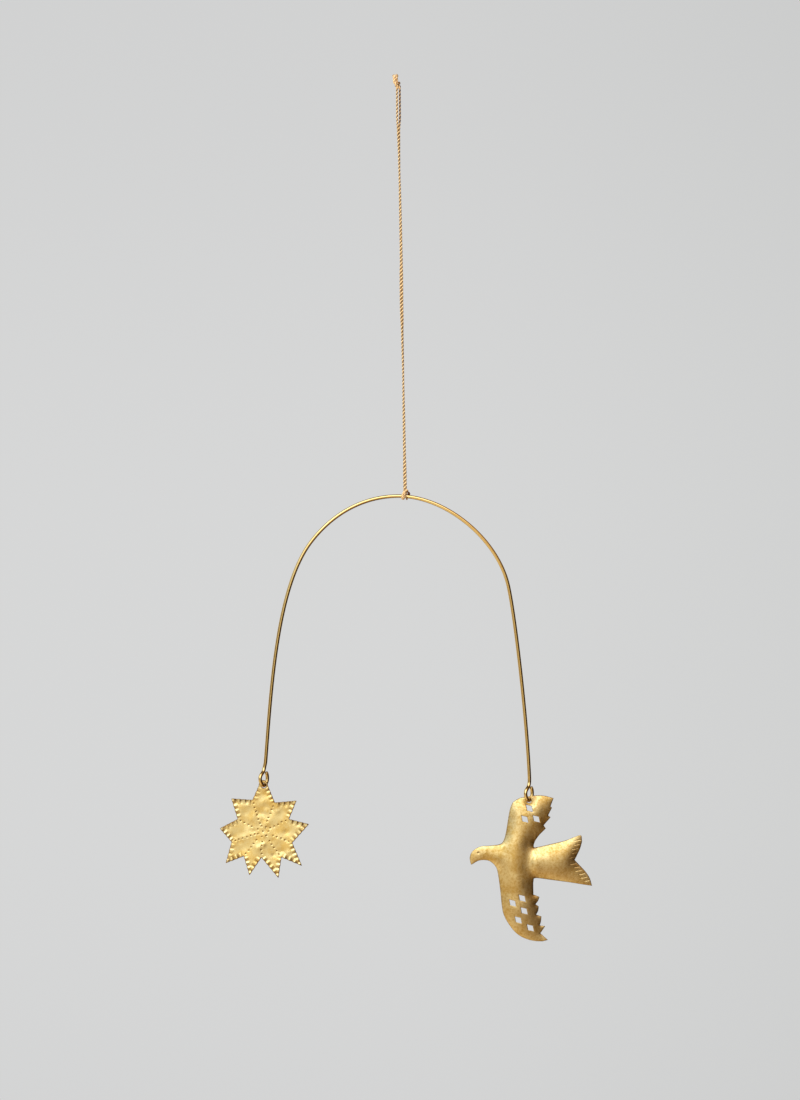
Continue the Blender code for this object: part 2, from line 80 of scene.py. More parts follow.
def row(*numbers: float) -> Points:
    """Returns numbers as a row of floats."""
    return np.array(numbers, float)


def unit(vector: Points) -> Points:
    """Returns a vector at length one."""
    return vector / np.linalg.norm(vector)


def heading(degrees: float) -> Points:
    """Returns a unit step in the XZ plane, at an angle up from +X."""
    return row(math.cos(math.radians(degrees)), 0.0, math.sin(math.radians(degrees)))


def bend(start: Points, start_way: Points, end: Points, end_way: Points, pulls: tuple[float, float],
         steps: int) -> list[Points]:
    """A cubic curve between two places.

    Args:
        start: Where it leaves.
        start_way: The direction in which it leaves.
        end: Where it arrives.
        end_way: The direction in which it arrives.
        pulls: How far it follows each direction, as shares of the distance between the places.
        steps: The number of points.

    Returns:
        Points along the curve, without its first one.
    """
    reach = np.linalg.norm(end - start)
    a, b = start + start_way * reach * pulls[0], end - end_way * reach * pulls[1]
    shares = [i / steps for i in range(1, steps + 1)]
    return [start * (1 - t) ** 3 + a * 3 * t * (1 - t) ** 2 + b * 3 * t * t * (1 - t) + end * t ** 3
            for t in shares]


def through(points: list, closed: bool, steps: int) -> list[Points]:
    """A smooth curve through points, as a Catmull-Rom spline.

    Args:
        points: The places it passes through.
        closed: Whether it comes back to its start.
        steps: The number of points for each stretch.

    Returns:
        Points along the curve.
    """
    ring = [np.asarray(p, float) for p in points]
    count, last = len(ring), len(ring) - 1
    made = []
    for i in range(count if closed else last):
        if closed:
            a, b, c, d = (ring[(i + k) % count] for k in (-1, 0, 1, 2))
        else:
            a, b, c, d = (ring[min(max(i + k, 0), last)] for k in (-1, 0, 1, 2))
        for k in range(steps):
            t = k / steps
            made.append(0.5 * (2 * b + (c - a) * t + (2 * a - 5 * b + 4 * c - d) * t * t
                               + (3 * b - a - 3 * c + d) * t ** 3))
    return made if closed else [*made, ring[-1]]


def run_along(line: Points) -> Points:
    """Returns how far along a line each of its points is."""
    return np.concatenate([[0.0], np.cumsum(np.linalg.norm(np.diff(line, axis=0), axis=1))])


def evenly(points: list, spacing: float) -> Points:
    """Sets points at one spacing along a line.

    Args:
        points: The line's points.
        spacing: The distance wanted between two points.

    Returns:
        The new points, with both ends kept.
    """
    line = np.asarray(points, float)
    along = run_along(line)
    count = max(2, int(round(along[-1] / spacing)) + 1)
    places = np.linspace(0.0, along[-1], count)
    return np.stack([np.interp(places, along, line[:, k]) for k in range(3)], axis=1)


def carried_frames(line: Points) -> tuple[Points, Points, Points]:
    """Two directions across a line that turn with it and don't spin round it.

    Args:
        line: The line's points.

    Returns:
        The line's direction, and the two directions across it, at each point.
    """
    ways = np.gradient(line, axis=0)
    ways /= np.linalg.norm(ways, axis=1)[:, None]
    start = row(0.0, 1.0, 0.0) if abs(ways[0][1]) < 0.9 else row(1.0, 0.0, 0.0)
    across = [unit(np.cross(ways[0], start))]
    for before, way in zip(ways, ways[1:]):
        turned = across[-1] - way * (across[-1] @ way)
        across.append(unit(turned))
    first = np.array(across)
    return ways, first, np.cross(ways, first)


def finer(loop: list, step: float) -> Points:
    """Returns a closed outline with points no further apart than a step, with its corners kept."""
    made = []
    for a, b in zip(loop, [*loop[1:], loop[0]]):
        a, b = np.asarray(a, float), np.asarray(b, float)
        count = max(1, int(math.ceil(np.linalg.norm(b - a) / step)))
        made += [a + (b - a) * i / count for i in range(count)]
    return np.array(made)


def distance_to(points: Points, targets: Points) -> Points:
    """Returns the distance from each flat place to the nearest of some others."""
    tree = KDTree(len(targets))
    for number, target in enumerate(targets.tolist()):
        tree.insert((*target, 0.0), number)
    tree.balance()
    return np.array([tree.find((x, z, 0.0))[2] for x, z in np.asarray(points, float).tolist()])


def edge_distance(points: Points, loops: list) -> Points:
    """The distance from each flat place to the nearest of several closed outlines.

    Args:
        points: Places across and up.
        loops: Outlines, each a row of places.

    Returns:
        One distance for each place.
    """
    return distance_to(points, np.concatenate([finer(loop, 0.08) for loop in loops]))


def inside(points: Points, loop: list) -> Points:
    """Whether each point is inside a closed outline.

    Args:
        points: Places across and up.
        loop: The outline.

    Returns:
        One truth value for each point.
    """
    points = np.asarray(points, float).reshape(-1, 2)
    a = np.asarray(loop, float)
    crossed = np.zeros(len(points), int)
    for (x0, z0), (x1, z1) in zip(a, np.roll(a, -1, axis=0)):
        if z0 != z1:
            between = (z0 > points[:, 1]) != (z1 > points[:, 1])
            crossed += between & (points[:, 0] < x0 + (points[:, 1] - z0) / (z1 - z0) * (x1 - x0))
    return crossed % 2 == 1


def in_sheet(points: Points, loops: list) -> Points:
    """Returns whether each place is inside the first outline and outside the others."""
    kept = inside(points, loops[0])
    for cut in loops[1:]:
        kept &= ~inside(points, cut)
    return kept


def ring(centre: Points, radius: float, sides: int, turn: float = 0.0) -> list[Points]:
    """Returns points evenly round a circle in the sheet."""
    angles = [2 * math.pi * (i + turn) / sides for i in range(sides)]
    return [row(centre[0] + radius * math.cos(a), centre[1] + radius * math.sin(a)) for a in angles]


def bump(distance: Points, radius: float | Points) -> Points:
    """Returns a soft round hill, one at its middle, falling away past a radius."""
    return np.exp(-(distance / radius) ** 2)


def soft_step(value: Points, low: float, high: float) -> Points:
    """Returns a smooth rise from 0 at one value to 1 at another."""
    share = np.clip((value - low) / (high - low), 0.0, 1.0)
    return share * share * (3.0 - 2.0 * share)


# Meshes

def mesh_object(name: str, vertices: Points, faces: list, finish: bpy.types.Material,
                marks: dict[str, Points] | None = None) -> bpy.types.Object:
    """Makes an object from points in millimetres.

    Args:
        name: The object's name.
        vertices: Its points.
        faces: The points of each face.
        finish: Its material.
        marks: Values or vectors at its points that the material reads, by name.

    Returns:
        The object, linked to the scene and shaded smooth.
    """
    mesh = bpy.data.meshes.new(name)
    mesh.from_pydata((np.asarray(vertices) * MM).tolist(), [], [tuple(int(i) for i in f) for f in faces])
    for mark, values in (marks or {}).items():
        vector = values.ndim == 2
        attribute = mesh.attributes.new(mark, "FLOAT_VECTOR" if vector else "FLOAT", "POINT")
        attribute.data.foreach_set("vector" if vector else "value", np.asarray(values, np.float32).ravel())
    mesh.materials.append(finish)
    mesh.shade_smooth()
    mesh.update()
    made = bpy.data.objects.new(name, mesh)
    bpy.context.scene.collection.objects.link(made)
    return made


def swept(line: Points, radii: Points, sides: int, first_face: int = 0) -> tuple[Points, list, Points]:
    """A round body along a line, closed at both ends.

    Args:
        line: The line's points, in millimetres.
        radii: The body's radius at each point.
        sides: The number of sides round it.
        first_face: The number of points that other bodies already have in the same mesh.

    Returns:
        Its points, its faces, and for each point its place round the line and along it.
    """
    ways, across, other = carried_frames(line)
    angles = 2 * math.pi * np.arange(sides) / sides
    cos, sin = np.cos(angles), np.sin(angles)
    skin = line[:, None] + radii[:, None, None] * (across[:, None] * cos[None, :, None]
                                                   + other[:, None] * sin[None, :, None])
    along = run_along(line)
    marks = np.zeros((len(line), sides, 3))
    marks[:, :, 0], marks[:, :, 1], marks[:, :, 2] = cos, sin, along[:, None]
    faces = []
    for i in range(len(line) - 1):
        low, high = first_face + i * sides, first_face + (i + 1) * sides
        faces += [(low + k, low + (k + 1) % sides, high + (k + 1) % sides, high + k) for k in range(sides)]
    last = first_face + (len(line) - 1) * sides
    faces.append(tuple(first_face + k for k in reversed(range(sides))))
    faces.append(tuple(last + k for k in range(sides)))
    return skin.reshape(-1, 3), faces, marks.reshape(-1, 3)


def rounded_ends(length: int, radius: float, ease: int, least: float) -> Points:
    """Returns radii that ease down over the first and last few points of a line."""
    steps = np.minimum(np.arange(length), np.arange(length)[::-1]) / ease
    return radius * (least + (1 - least) * np.sqrt(np.clip(1 - (1 - np.clip(steps, 0, 1)) ** 2, 0, 1)))


# Shader building

class Graph:
    """A node tree, with short ways to add to it."""

    def __init__(self, tree: bpy.types.NodeTree) -> None:
        """Keeps the tree."""
        self.tree = tree

    def add(self, kind: str, inputs: dict | None = None, **settings: object) -> bpy.types.Node:
        """Adds a node.

        Args:
            kind: The node's type name.
            inputs: Values or sockets for its inputs, by name or number.
            **settings: The node's own settings.

        Returns:
            The node.
        """
        node = self.tree.nodes.new(kind)
        for name, value in settings.items():
            setattr(node, name, value)
        for name, value in (inputs or {}).items():
            if isinstance(value, bpy.types.NodeSocket):
                self.tree.links.new(value, node.inputs[name])
            else:
                node.inputs[name].default_value = value
        return node

    def math(self, operation: str, *values: object) -> bpy.types.NodeSocket:
        """Returns the result of a sum on numbers or sockets."""
        return self.add("ShaderNodeMath", dict(enumerate(values)), operation=operation).outputs[0]

    def range(self, value: bpy.types.NodeSocket, low: float, high: float, start: float = 0.0,
              end: float = 1.0) -> bpy.types.NodeSocket:
        """Returns a value eased from one range into another."""
        inputs = {0: value, 1: low, 2: high, 3: start, 4: end}
        return self.add("ShaderNodeMapRange", inputs, interpolation_type="SMOOTHSTEP").outputs[0]

    def mix(self, share: object, low: object, high: object) -> bpy.types.NodeSocket:
        """Returns a mix of two colours."""
        node = self.add("ShaderNodeMix", {0: share, 6: low, 7: high}, data_type="RGBA")
        return node.outputs[2]

    def noise(self, vector: bpy.types.NodeSocket, scale: object, detail: float,
              roughness: float = 0.5) -> bpy.types.NodeSocket:
        """Returns the value of a noise."""
        inputs = {"Vector": vector, "Scale": scale, "Detail": detail, "Roughness": roughness}
        return self.add("ShaderNodeTexNoise", inputs).outputs[0]


def shared_group(name: str, inputs: dict[str, tuple[str, object]], outputs: dict[str, str]) -> Graph:
    """Starts a shader node group with named sockets.

    Args:
        name: The group's name.
        inputs: For each input, its kind (Float, Color or Vector) and its first value.
        outputs: For each output, its kind.

    Returns:
        The group's graph. Its input and output nodes are named after what they are.
    """
    tree = bpy.data.node_groups.new(name, "ShaderNodeTree")
    for label, (kind, value) in inputs.items():
        socket = tree.interface.new_socket(label, in_out="INPUT", socket_type="NodeSocket" + kind)
        if value is not None:
            socket.default_value = value
    for label, kind in outputs.items():
        tree.interface.new_socket(label, in_out="OUTPUT", socket_type="NodeSocket" + kind)
    graph = Graph(tree)
    graph.add("NodeGroupInput", name="given")
    graph.add("NodeGroupOutput", name="result")
    return graph


def paint(colour: Colour) -> tuple[float, float, float, float]:
    """Returns a colour with full alpha."""
    return (*colour, 1.0)


def tarnish_and_shade_group() -> bpy.types.NodeTree:
    """Brass that has darkened unevenly: cloudy patches, freckles, rubbed high places, and brown painted shade
    and stains.

    Returns:
        The group, which gives a colour and how dark the tarnish and the painted shade are.
    """
    graph = shared_group(
        "tarnish_and_shade",
        {"Bright": ("Color", paint((1, 1, 1))), "Warm": ("Color", paint((1, 1, 1))),
         "Brown": ("Color", paint((1, 1, 1))), "Place": ("Vector", None), "Patch Scale": ("Float", 90.0),
         "Patches": ("Float", 0.5), "Freckles": ("Float", 0.2), "Shade And Stain": ("Float", 0.0),
         "Rubbed": ("Float", 0.0)},
        {"Color": "Color", "Dark": "Float"},
    )
    given, result = graph.tree.nodes["given"], graph.tree.nodes["result"]
    place, scale = given.outputs["Place"], given.outputs["Patch Scale"]
    clouds = graph.range(graph.noise(place, scale, 5.0, 0.62), 0.36, 0.68)
    fine = graph.range(graph.noise(place, graph.math("MULTIPLY", scale, 9.0), 3.0, 0.7), 0.42, 0.66)
    patchy = graph.math("MULTIPLY", clouds, given.outputs["Patches"])
    freckled = graph.math("MULTIPLY", fine, given.outputs["Freckles"])
    worn = graph.math("SUBTRACT", graph.math("ADD", patchy, freckled), given.outputs["Rubbed"])
    warm = graph.mix(graph.math("MAXIMUM", worn, 0.0), given.outputs["Bright"], given.outputs["Warm"])
    # Painted shade: this input turns the colour brown where the marks say. On the bird it also carries
    # stains.
    dark = graph.math("MINIMUM", graph.math("MAXIMUM", given.outputs["Shade And Stain"], 0.0), 1.0)
    graph.tree.links.new(graph.mix(dark, warm, given.outputs["Brown"]), result.inputs["Color"])
    shade = graph.math("MAXIMUM", dark, graph.math("MULTIPLY", graph.math("MAXIMUM", worn, 0.0), 0.5))
    graph.tree.links.new(shade, result.inputs["Dark"])
    return graph.tree


def scratch_group() -> bpy.types.NodeTree:
    """Fine rubbing marks that run along one direction, over a soft unevenness.

    Returns:
        The group, which gives a height and a roughness.
    """
    graph = shared_group(
        "scratches",
        {"Along": ("Vector", None), "Across Scale": ("Float", 900.0), "Roughness": ("Float", 0.35),
         "Spread": ("Float", 0.1), "Dark": ("Float", 0.0)},
        {"Height": "Float", "Roughness": "Float"},
    )
    given, result = graph.tree.nodes["given"], graph.tree.nodes["result"]
    lines = graph.noise(given.outputs["Along"], given.outputs["Across Scale"], 4.0, 0.65)
    spread = graph.math("MULTIPLY", graph.math("SUBTRACT", lines, 0.5), given.outputs["Spread"])
    rough = graph.math("ADD", given.outputs["Roughness"], graph.math("MULTIPLY", spread, 2.0))
    rough = graph.math("ADD", rough, graph.math("MULTIPLY", given.outputs["Dark"], 0.18))
    graph.tree.links.new(lines, result.inputs["Height"])
    graph.tree.links.new(graph.math("MINIMUM", graph.math("MAXIMUM", rough, 0.08), 0.9),
                         result.inputs["Roughness"])
    return graph.tree


def fibre_group() -> bpy.types.NodeTree:
    """Fine threads that wind round a ply, with lighter and darker ones.

    Returns:
        The group, which gives a height and how light each thread is.
    """
    graph = shared_group(
        "fibres",
        {"Thread": ("Vector", None), "Count": ("Float", 9.0), "Lean": ("Float", 2.2)},
        {"Height": "Float", "Light": "Float"},
    )
    given, result = graph.tree.nodes["given"], graph.tree.nodes["result"]
    thread = given.outputs["Thread"]
    turned = graph.add("ShaderNodeVectorRotate", {"Vector": thread}, rotation_type="Z_AXIS")
    parts = graph.add("ShaderNodeSeparateXYZ", {0: thread})
    angle = graph.math("MULTIPLY", parts.outputs[2], given.outputs["Lean"])
    graph.tree.links.new(angle, turned.inputs["Angle"])
    stretch = (1.0, 1.0, 0.02)
    flat = graph.add("ShaderNodeVectorMath", {0: turned.outputs[0], 1: stretch}, operation="MULTIPLY")
    threads = graph.noise(flat.outputs[0], given.outputs["Count"], 2.0, 0.6)
    graph.tree.links.new(threads, result.inputs["Height"])
    graph.tree.links.new(graph.range(threads, 0.35, 0.65), result.inputs["Light"])
    return graph.tree


@dataclass(frozen=True)
class SharedEffects:
    """The node groups that several finishes use."""

    tarnish_and_shade: bpy.types.NodeTree
    scratches: bpy.types.NodeTree
    fibres: bpy.types.NodeTree

    @classmethod
    def build(cls) -> "SharedEffects":
        """Returns the groups, made once."""
        return cls(tarnish_and_shade_group(), scratch_group(), fibre_group())


# Finishes

def new_material(name: str) -> tuple[bpy.types.Material, Graph, bpy.types.Node]:
    """Starts a material.

    Args:
        name: Its name.

    Returns:
        The material, its graph and its Principled shader.
    """
    made = bpy.data.materials.new(name)
    made.use_nodes = True
    return made, Graph(made.node_tree), made.node_tree.nodes["Principled BSDF"]


@dataclass(frozen=True)
class BrassFinish:
    """Brass as it is on one piece: its colours, its wear, its rubbing marks, and the painted shade its marks
    call for.
    """

    name: str
    bright: Colour
    warm: Colour
    brown: Colour
    patch_scale: float
    patches: float
    freckles: float
    roughness: float
    spread: float
    scratch_scale: float
    scratch_stretch: tuple[float, float, float]
    scratch_height: float
    grain_height: float
    coords: str = ""

    def build(self, effects: SharedEffects) -> bpy.types.Material:
        """Makes the material.

        Args:
            effects: The shared node groups.

        Returns:
            The material. It reads the mark of painted shade and stains, and the rubbed mark, on its mesh.
        """
        made, graph, shader = new_material(self.name)
        links = graph.tree.links
        place = graph.add("ShaderNodeTexCoord").outputs["Object"]
        # The mark read next paints shade into the colour, along with stains on the bird.
        shade_and_stain = graph.add("ShaderNodeAttribute", attribute_name="shade_and_stain").outputs["Fac"]
        rubbed = graph.add("ShaderNodeAttribute", attribute_name="rubbed").outputs["Fac"]
        tarnish_and_shade = graph.add("ShaderNodeGroup", node_tree=effects.tarnish_and_shade, label="tarnish_and_shade")
        for label, value in {
            "Bright": paint(self.bright), "Warm": paint(self.warm), "Brown": paint(self.brown),
            "Patch Scale": self.patch_scale, "Patches": self.patches, "Freckles": self.freckles,
        }.items():
            tarnish_and_shade.inputs[label].default_value = value
        for label, value in {"Place": place, "Shade And Stain": shade_and_stain, "Rubbed": rubbed}.items():
            links.new(value, tarnish_and_shade.inputs[label])
        run = place
        if self.coords:
            run = graph.add("ShaderNodeAttribute", attribute_name=self.coords).outputs["Vector"]
        stretched = graph.add("ShaderNodeVectorMath", {0: run, 1: self.scratch_stretch}, operation="MULTIPLY")
        scratches = graph.add("ShaderNodeGroup", node_tree=effects.scratches, label="scratches")
        links.new(stretched.outputs[0], scratches.inputs["Along"])
        links.new(tarnish_and_shade.outputs["Dark"], scratches.inputs["Dark"])
        scratches.inputs["Across Scale"].default_value = self.scratch_scale
        scratches.inputs["Roughness"].default_value = self.roughness
        scratches.inputs["Spread"].default_value = self.spread
        grain = graph.noise(place, 2600.0, 3.0, 0.6)
        height = graph.math("ADD", graph.math("MULTIPLY", scratches.outputs["Height"], self.scratch_height),
                            graph.math("MULTIPLY", grain, self.grain_height))
        relief = graph.add("ShaderNodeBump", {"Strength": 1.0, "Distance": MM, "Height": height})
        shader.inputs["Metallic"].default_value = 1.0
        links.new(tarnish_and_shade.outputs["Color"], shader.inputs["Base Color"])
        links.new(scratches.outputs["Roughness"], shader.inputs["Roughness"])
        links.new(relief.outputs[0], shader.inputs["Normal"])
        return made


@dataclass(frozen=True)
class ThreadFinish:
    """Twisted gold-brown thread with a soft sheen, painted shade deep in its gaps, and a faint painted glow.
    """

    name: str
    light: Colour
    dark: Colour
    deep: Colour
    roughness: float
    metal: float
    sheen: float
    height: float
    # A painted glow: the share of its own colour that the thread gives off as light.
    glow: float = 0.24

    def build(self, effects: SharedEffects) -> bpy.types.Material:
        """Makes the material.

        Args:
            effects: The shared node groups.

        Returns:
            The material. It reads the thread mark and the mark of painted shade on its mesh.
        """
        made, graph, shader = new_material(self.name)
        links = graph.tree.links
        thread = graph.add("ShaderNodeAttribute", attribute_name="thread").outputs["Vector"]
        shade_and_stain = graph.add("ShaderNodeAttribute", attribute_name="shade_and_stain").outputs["Fac"]
        fibres = graph.add("ShaderNodeGroup", node_tree=effects.fibres, label="fibres")
        links.new(thread, fibres.inputs["Thread"])
        shade = graph.mix(fibres.outputs["Light"], paint(self.dark), paint(self.light))
        # Painted shade: deep brown between the plies and where another strand or a knot's turns shade the
        # thread.
        deep = graph.mix(shade_and_stain, shade, paint(self.deep))
        relief = graph.add("ShaderNodeBump", {"Strength": 0.8, "Distance": self.height * MM,
                                              "Height": fibres.outputs["Height"]})
        shader.inputs["Metallic"].default_value = self.metal
        shader.inputs["Roughness"].default_value = self.roughness
        shader.inputs["Sheen Weight"].default_value = self.sheen
        shader.inputs["Sheen Roughness"].default_value = 0.4
        # Painted light: the thread glows a little in its own colour.
        shader.inputs["Emission Strength"].default_value = self.glow
        shader.inputs["Sheen Tint"].default_value = paint(self.light)
        links.new(deep, shader.inputs["Base Color"])
        links.new(deep, shader.inputs["Emission Color"])
        links.new(relief.outputs[0], shader.inputs["Normal"])
        return made


@dataclass(frozen=True)
class PaperFinish:
    """The pale paper round the object, which gives its own light. It is palest left and a little below."""

    name: str
    pale: Colour
    shaded: Colour
    level: float = -0.4
    fall: float = 0.056

    def build(self) -> bpy.types.Material:
        """Makes the material.

        Returns:
            The material.
        """
        made = bpy.data.materials.new(self.name)
        made.use_nodes = True
        graph = Graph(made.node_tree)
        graph.tree.nodes.clear()
        place = graph.add("ShaderNodeTexCoord").outputs["Object"]
        parts = graph.add("ShaderNodeSeparateXYZ", {0: place})
        side = graph.range(parts.outputs[0], -0.1, 0.9)
        away = graph.math("ABSOLUTE", graph.math("SUBTRACT", parts.outputs[2], self.level))
        bright = graph.range(away, 0.15, 1.15, 1.0, 1.0 - self.fall)
        glow = graph.add("ShaderNodeEmission",
                         {0: graph.mix(side, paint(self.pale), paint(self.shaded)), 1: bright})
        graph.add("ShaderNodeOutputMaterial", {0: glow.outputs[0]})
        return made


# Wire

@dataclass
class WireArch:
    """The bent brass wire, with an eye at each end.

    Stations are across and down from where the cord holds it, with a slope in degrees. They and the pulls of
    the bends between them repeat those of the solids.
    """

    thick: float = 1.8
    gap: float = 0.3
    drop: float = 204.2
    star_leg: tuple[float, float, float] = (-72.0, 131.1, 84.6)
    star_bend: tuple[float, float, float] = (-48.0, 22.7, 52.7)
    top: tuple[float, float, float] = (-4.1, -0.2, 0.0)
    bird_bend: tuple[float, float, float] = (50.4, 43.9, -75.9)
    bird_leg: tuple[float, float, float] = (59.7, 140.1, -88.3)
    star_leg_pulls: tuple[float, float] = (0.304, 0.257)
    star_top_pulls: tuple[float, float] = (0.36, 0.354)
    bird_top_pulls: tuple[float, float] = (0.34, 0.334)
    bird_leg_pulls: tuple[float, float] = (0.133, 0.312)
    star_neck: tuple[float, float] = (-0.9, 4.3)
    bird_neck: tuple[float, float] = (-0.2, 5.0)
    eye_front: float = 3.4
    eye_back: float = 2.8
    eye_drop: float = 8.0
    eye_turn: float = 34.0
    crossing_turn: float = 20.0
    eye_waist: float = 0.55
    eye_tip: float = 0.17
    sides: int = 20
    step: float = 0.9

    def place(self, station: tuple[float, ...]) -> Points:
        """Returns a station's place."""
        return row(station[0], 0.0, -self.drop - station[1])

    def across_eye(self, turn: float) -> Points:
        """Returns a unit step through an eye from front to back, turned from +Y towards +X."""
        return row(math.sin(math.radians(turn)), math.cos(math.radians(turn)), 0.0)

    def leg_and_neck(self, pendant: Pendant) -> tuple[Points, Points, Points]:
        """The lower end of a leg.

        Args:
            pendant: The ornament that hangs there.

        Returns:
            Where the leg ends, its direction down, and the neck of its eye.
        """
        if pendant is Pendant.STAR:
            leg, way, neck = self.place(self.star_leg), -heading(self.star_leg[2]), self.star_neck
        else:
            leg, way, neck = self.place(self.bird_leg), heading(self.bird_leg[2]), self.bird_neck
        return leg, way, leg + row(neck[0], 0.0, -neck[1])

    def pivot(self, pendant: Pendant) -> Points:
        """Returns the middle of the wire where it passes through an ornament's hole."""
        neck = self.leg_and_neck(pendant)[2]
        through_eye = self.across_eye(self.eye_turn)
        return neck + through_eye * (self.eye_back - self.eye_front) / 2 - row(0, 0, self.eye_drop)

    def eye(self, pendant: Pendant, fine: int) -> list[Points]:
        """The wire's middle line from the end of a leg to its cut end.

        Args:
            pendant: The ornament that hangs there.
            fine: How many times more points than a plain bend has.

        Returns:
            Points along the line.
        """
        leg, leg_way, neck = self.leg_and_neck(pendant)
        through_eye, crossing = self.across_eye(self.eye_turn), self.across_eye(self.crossing_turn)
        down = row(0, 0, -1)
        front = neck - through_eye * self.eye_front + down * self.eye_drop * self.eye_waist
        bottom = self.pivot(pendant)
        back = neck + through_eye * self.eye_back + down * self.eye_drop * self.eye_waist
        tip = neck + through_eye * (self.thick + self.gap / 3) + down * self.eye_drop * self.eye_tip
        neck_way, tip_way = unit(down * 3 - through_eye), unit(-through_eye - down * 1.7)
        line = bend(leg, leg_way, neck, neck_way, (0.35, 0.35), 3 * fine)
        line += bend(neck, neck_way, front, down, (0.35, 0.38), 5 * fine)
        line += bend(front, down, bottom, crossing, (0.42, 0.40), 6 * fine)
        line += bend(bottom, crossing, back, -down, (0.40, 0.42), 6 * fine)
        return line + bend(back, -down, tip, tip_way, (0.40, 0.35), 4 * fine)

    def route(self) -> list[Points]:
        """Returns the wire's middle line from the star's eye to the bird's."""
        fine = 6
        star_leg, star_down, _ = self.leg_and_neck(Pendant.STAR)
        bird_leg, bird_down, _ = self.leg_and_neck(Pendant.BIRD)
        stations = [self.star_bend, self.top, self.bird_bend]
        places, ways = [self.place(s) for s in stations], [heading(s[2]) for s in stations]
        line = [*self.eye(Pendant.STAR, fine)[::-1], star_leg]
        line += bend(star_leg, -star_down, places[0], ways[0], self.star_leg_pulls, 12 * fine)
        line += bend(places[0], ways[0], places[1], ways[1], self.star_top_pulls, 11 * fine)
        line += bend(places[1], ways[1], places[2], ways[2], self.bird_top_pulls, 15 * fine)
        line += bend(places[2], ways[2], bird_leg, bird_down, self.bird_leg_pulls, 9 * fine)
        return line + self.eye(Pendant.BIRD, fine)

    def under_cord(self) -> tuple[Points, Points]:
        """Returns the wire's middle where the cord meets it, and its direction there."""
        line = self.route()
        for a, b in zip(line, line[1:]):
            if a[0] <= 0.0 < b[0] and a[2] > -self.drop * 1.2:
                return a + (b - a) * -a[0] / (b[0] - a[0]), unit(b - a)
        raise ValueError("the wire doesn't pass under the cord")

    def build(self, finish: bpy.types.Material) -> bpy.types.Object:
        """Makes the wire.

        Args:
            finish: Its material.

        Returns:
            The wire, riding on the arch.
        """
        line = evenly(self.route(), self.step)
        radii = rounded_ends(len(line), self.thick / 2, 1, 0.86)
        vertices, faces, marks = swept(line, radii, self.sides)
        ends = np.repeat(np.minimum(np.arange(len(line)), np.arange(len(line))[::-1]), self.sides)
        made = mesh_object("bent_wire", vertices, faces, finish,
                           {"drawn": marks, "shade_and_stain": 0.6 * (ends < 1), "rubbed": np.zeros(len(vertices))})
        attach(made, "arch")
        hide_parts("wire_arch")
        return made


# Sheets

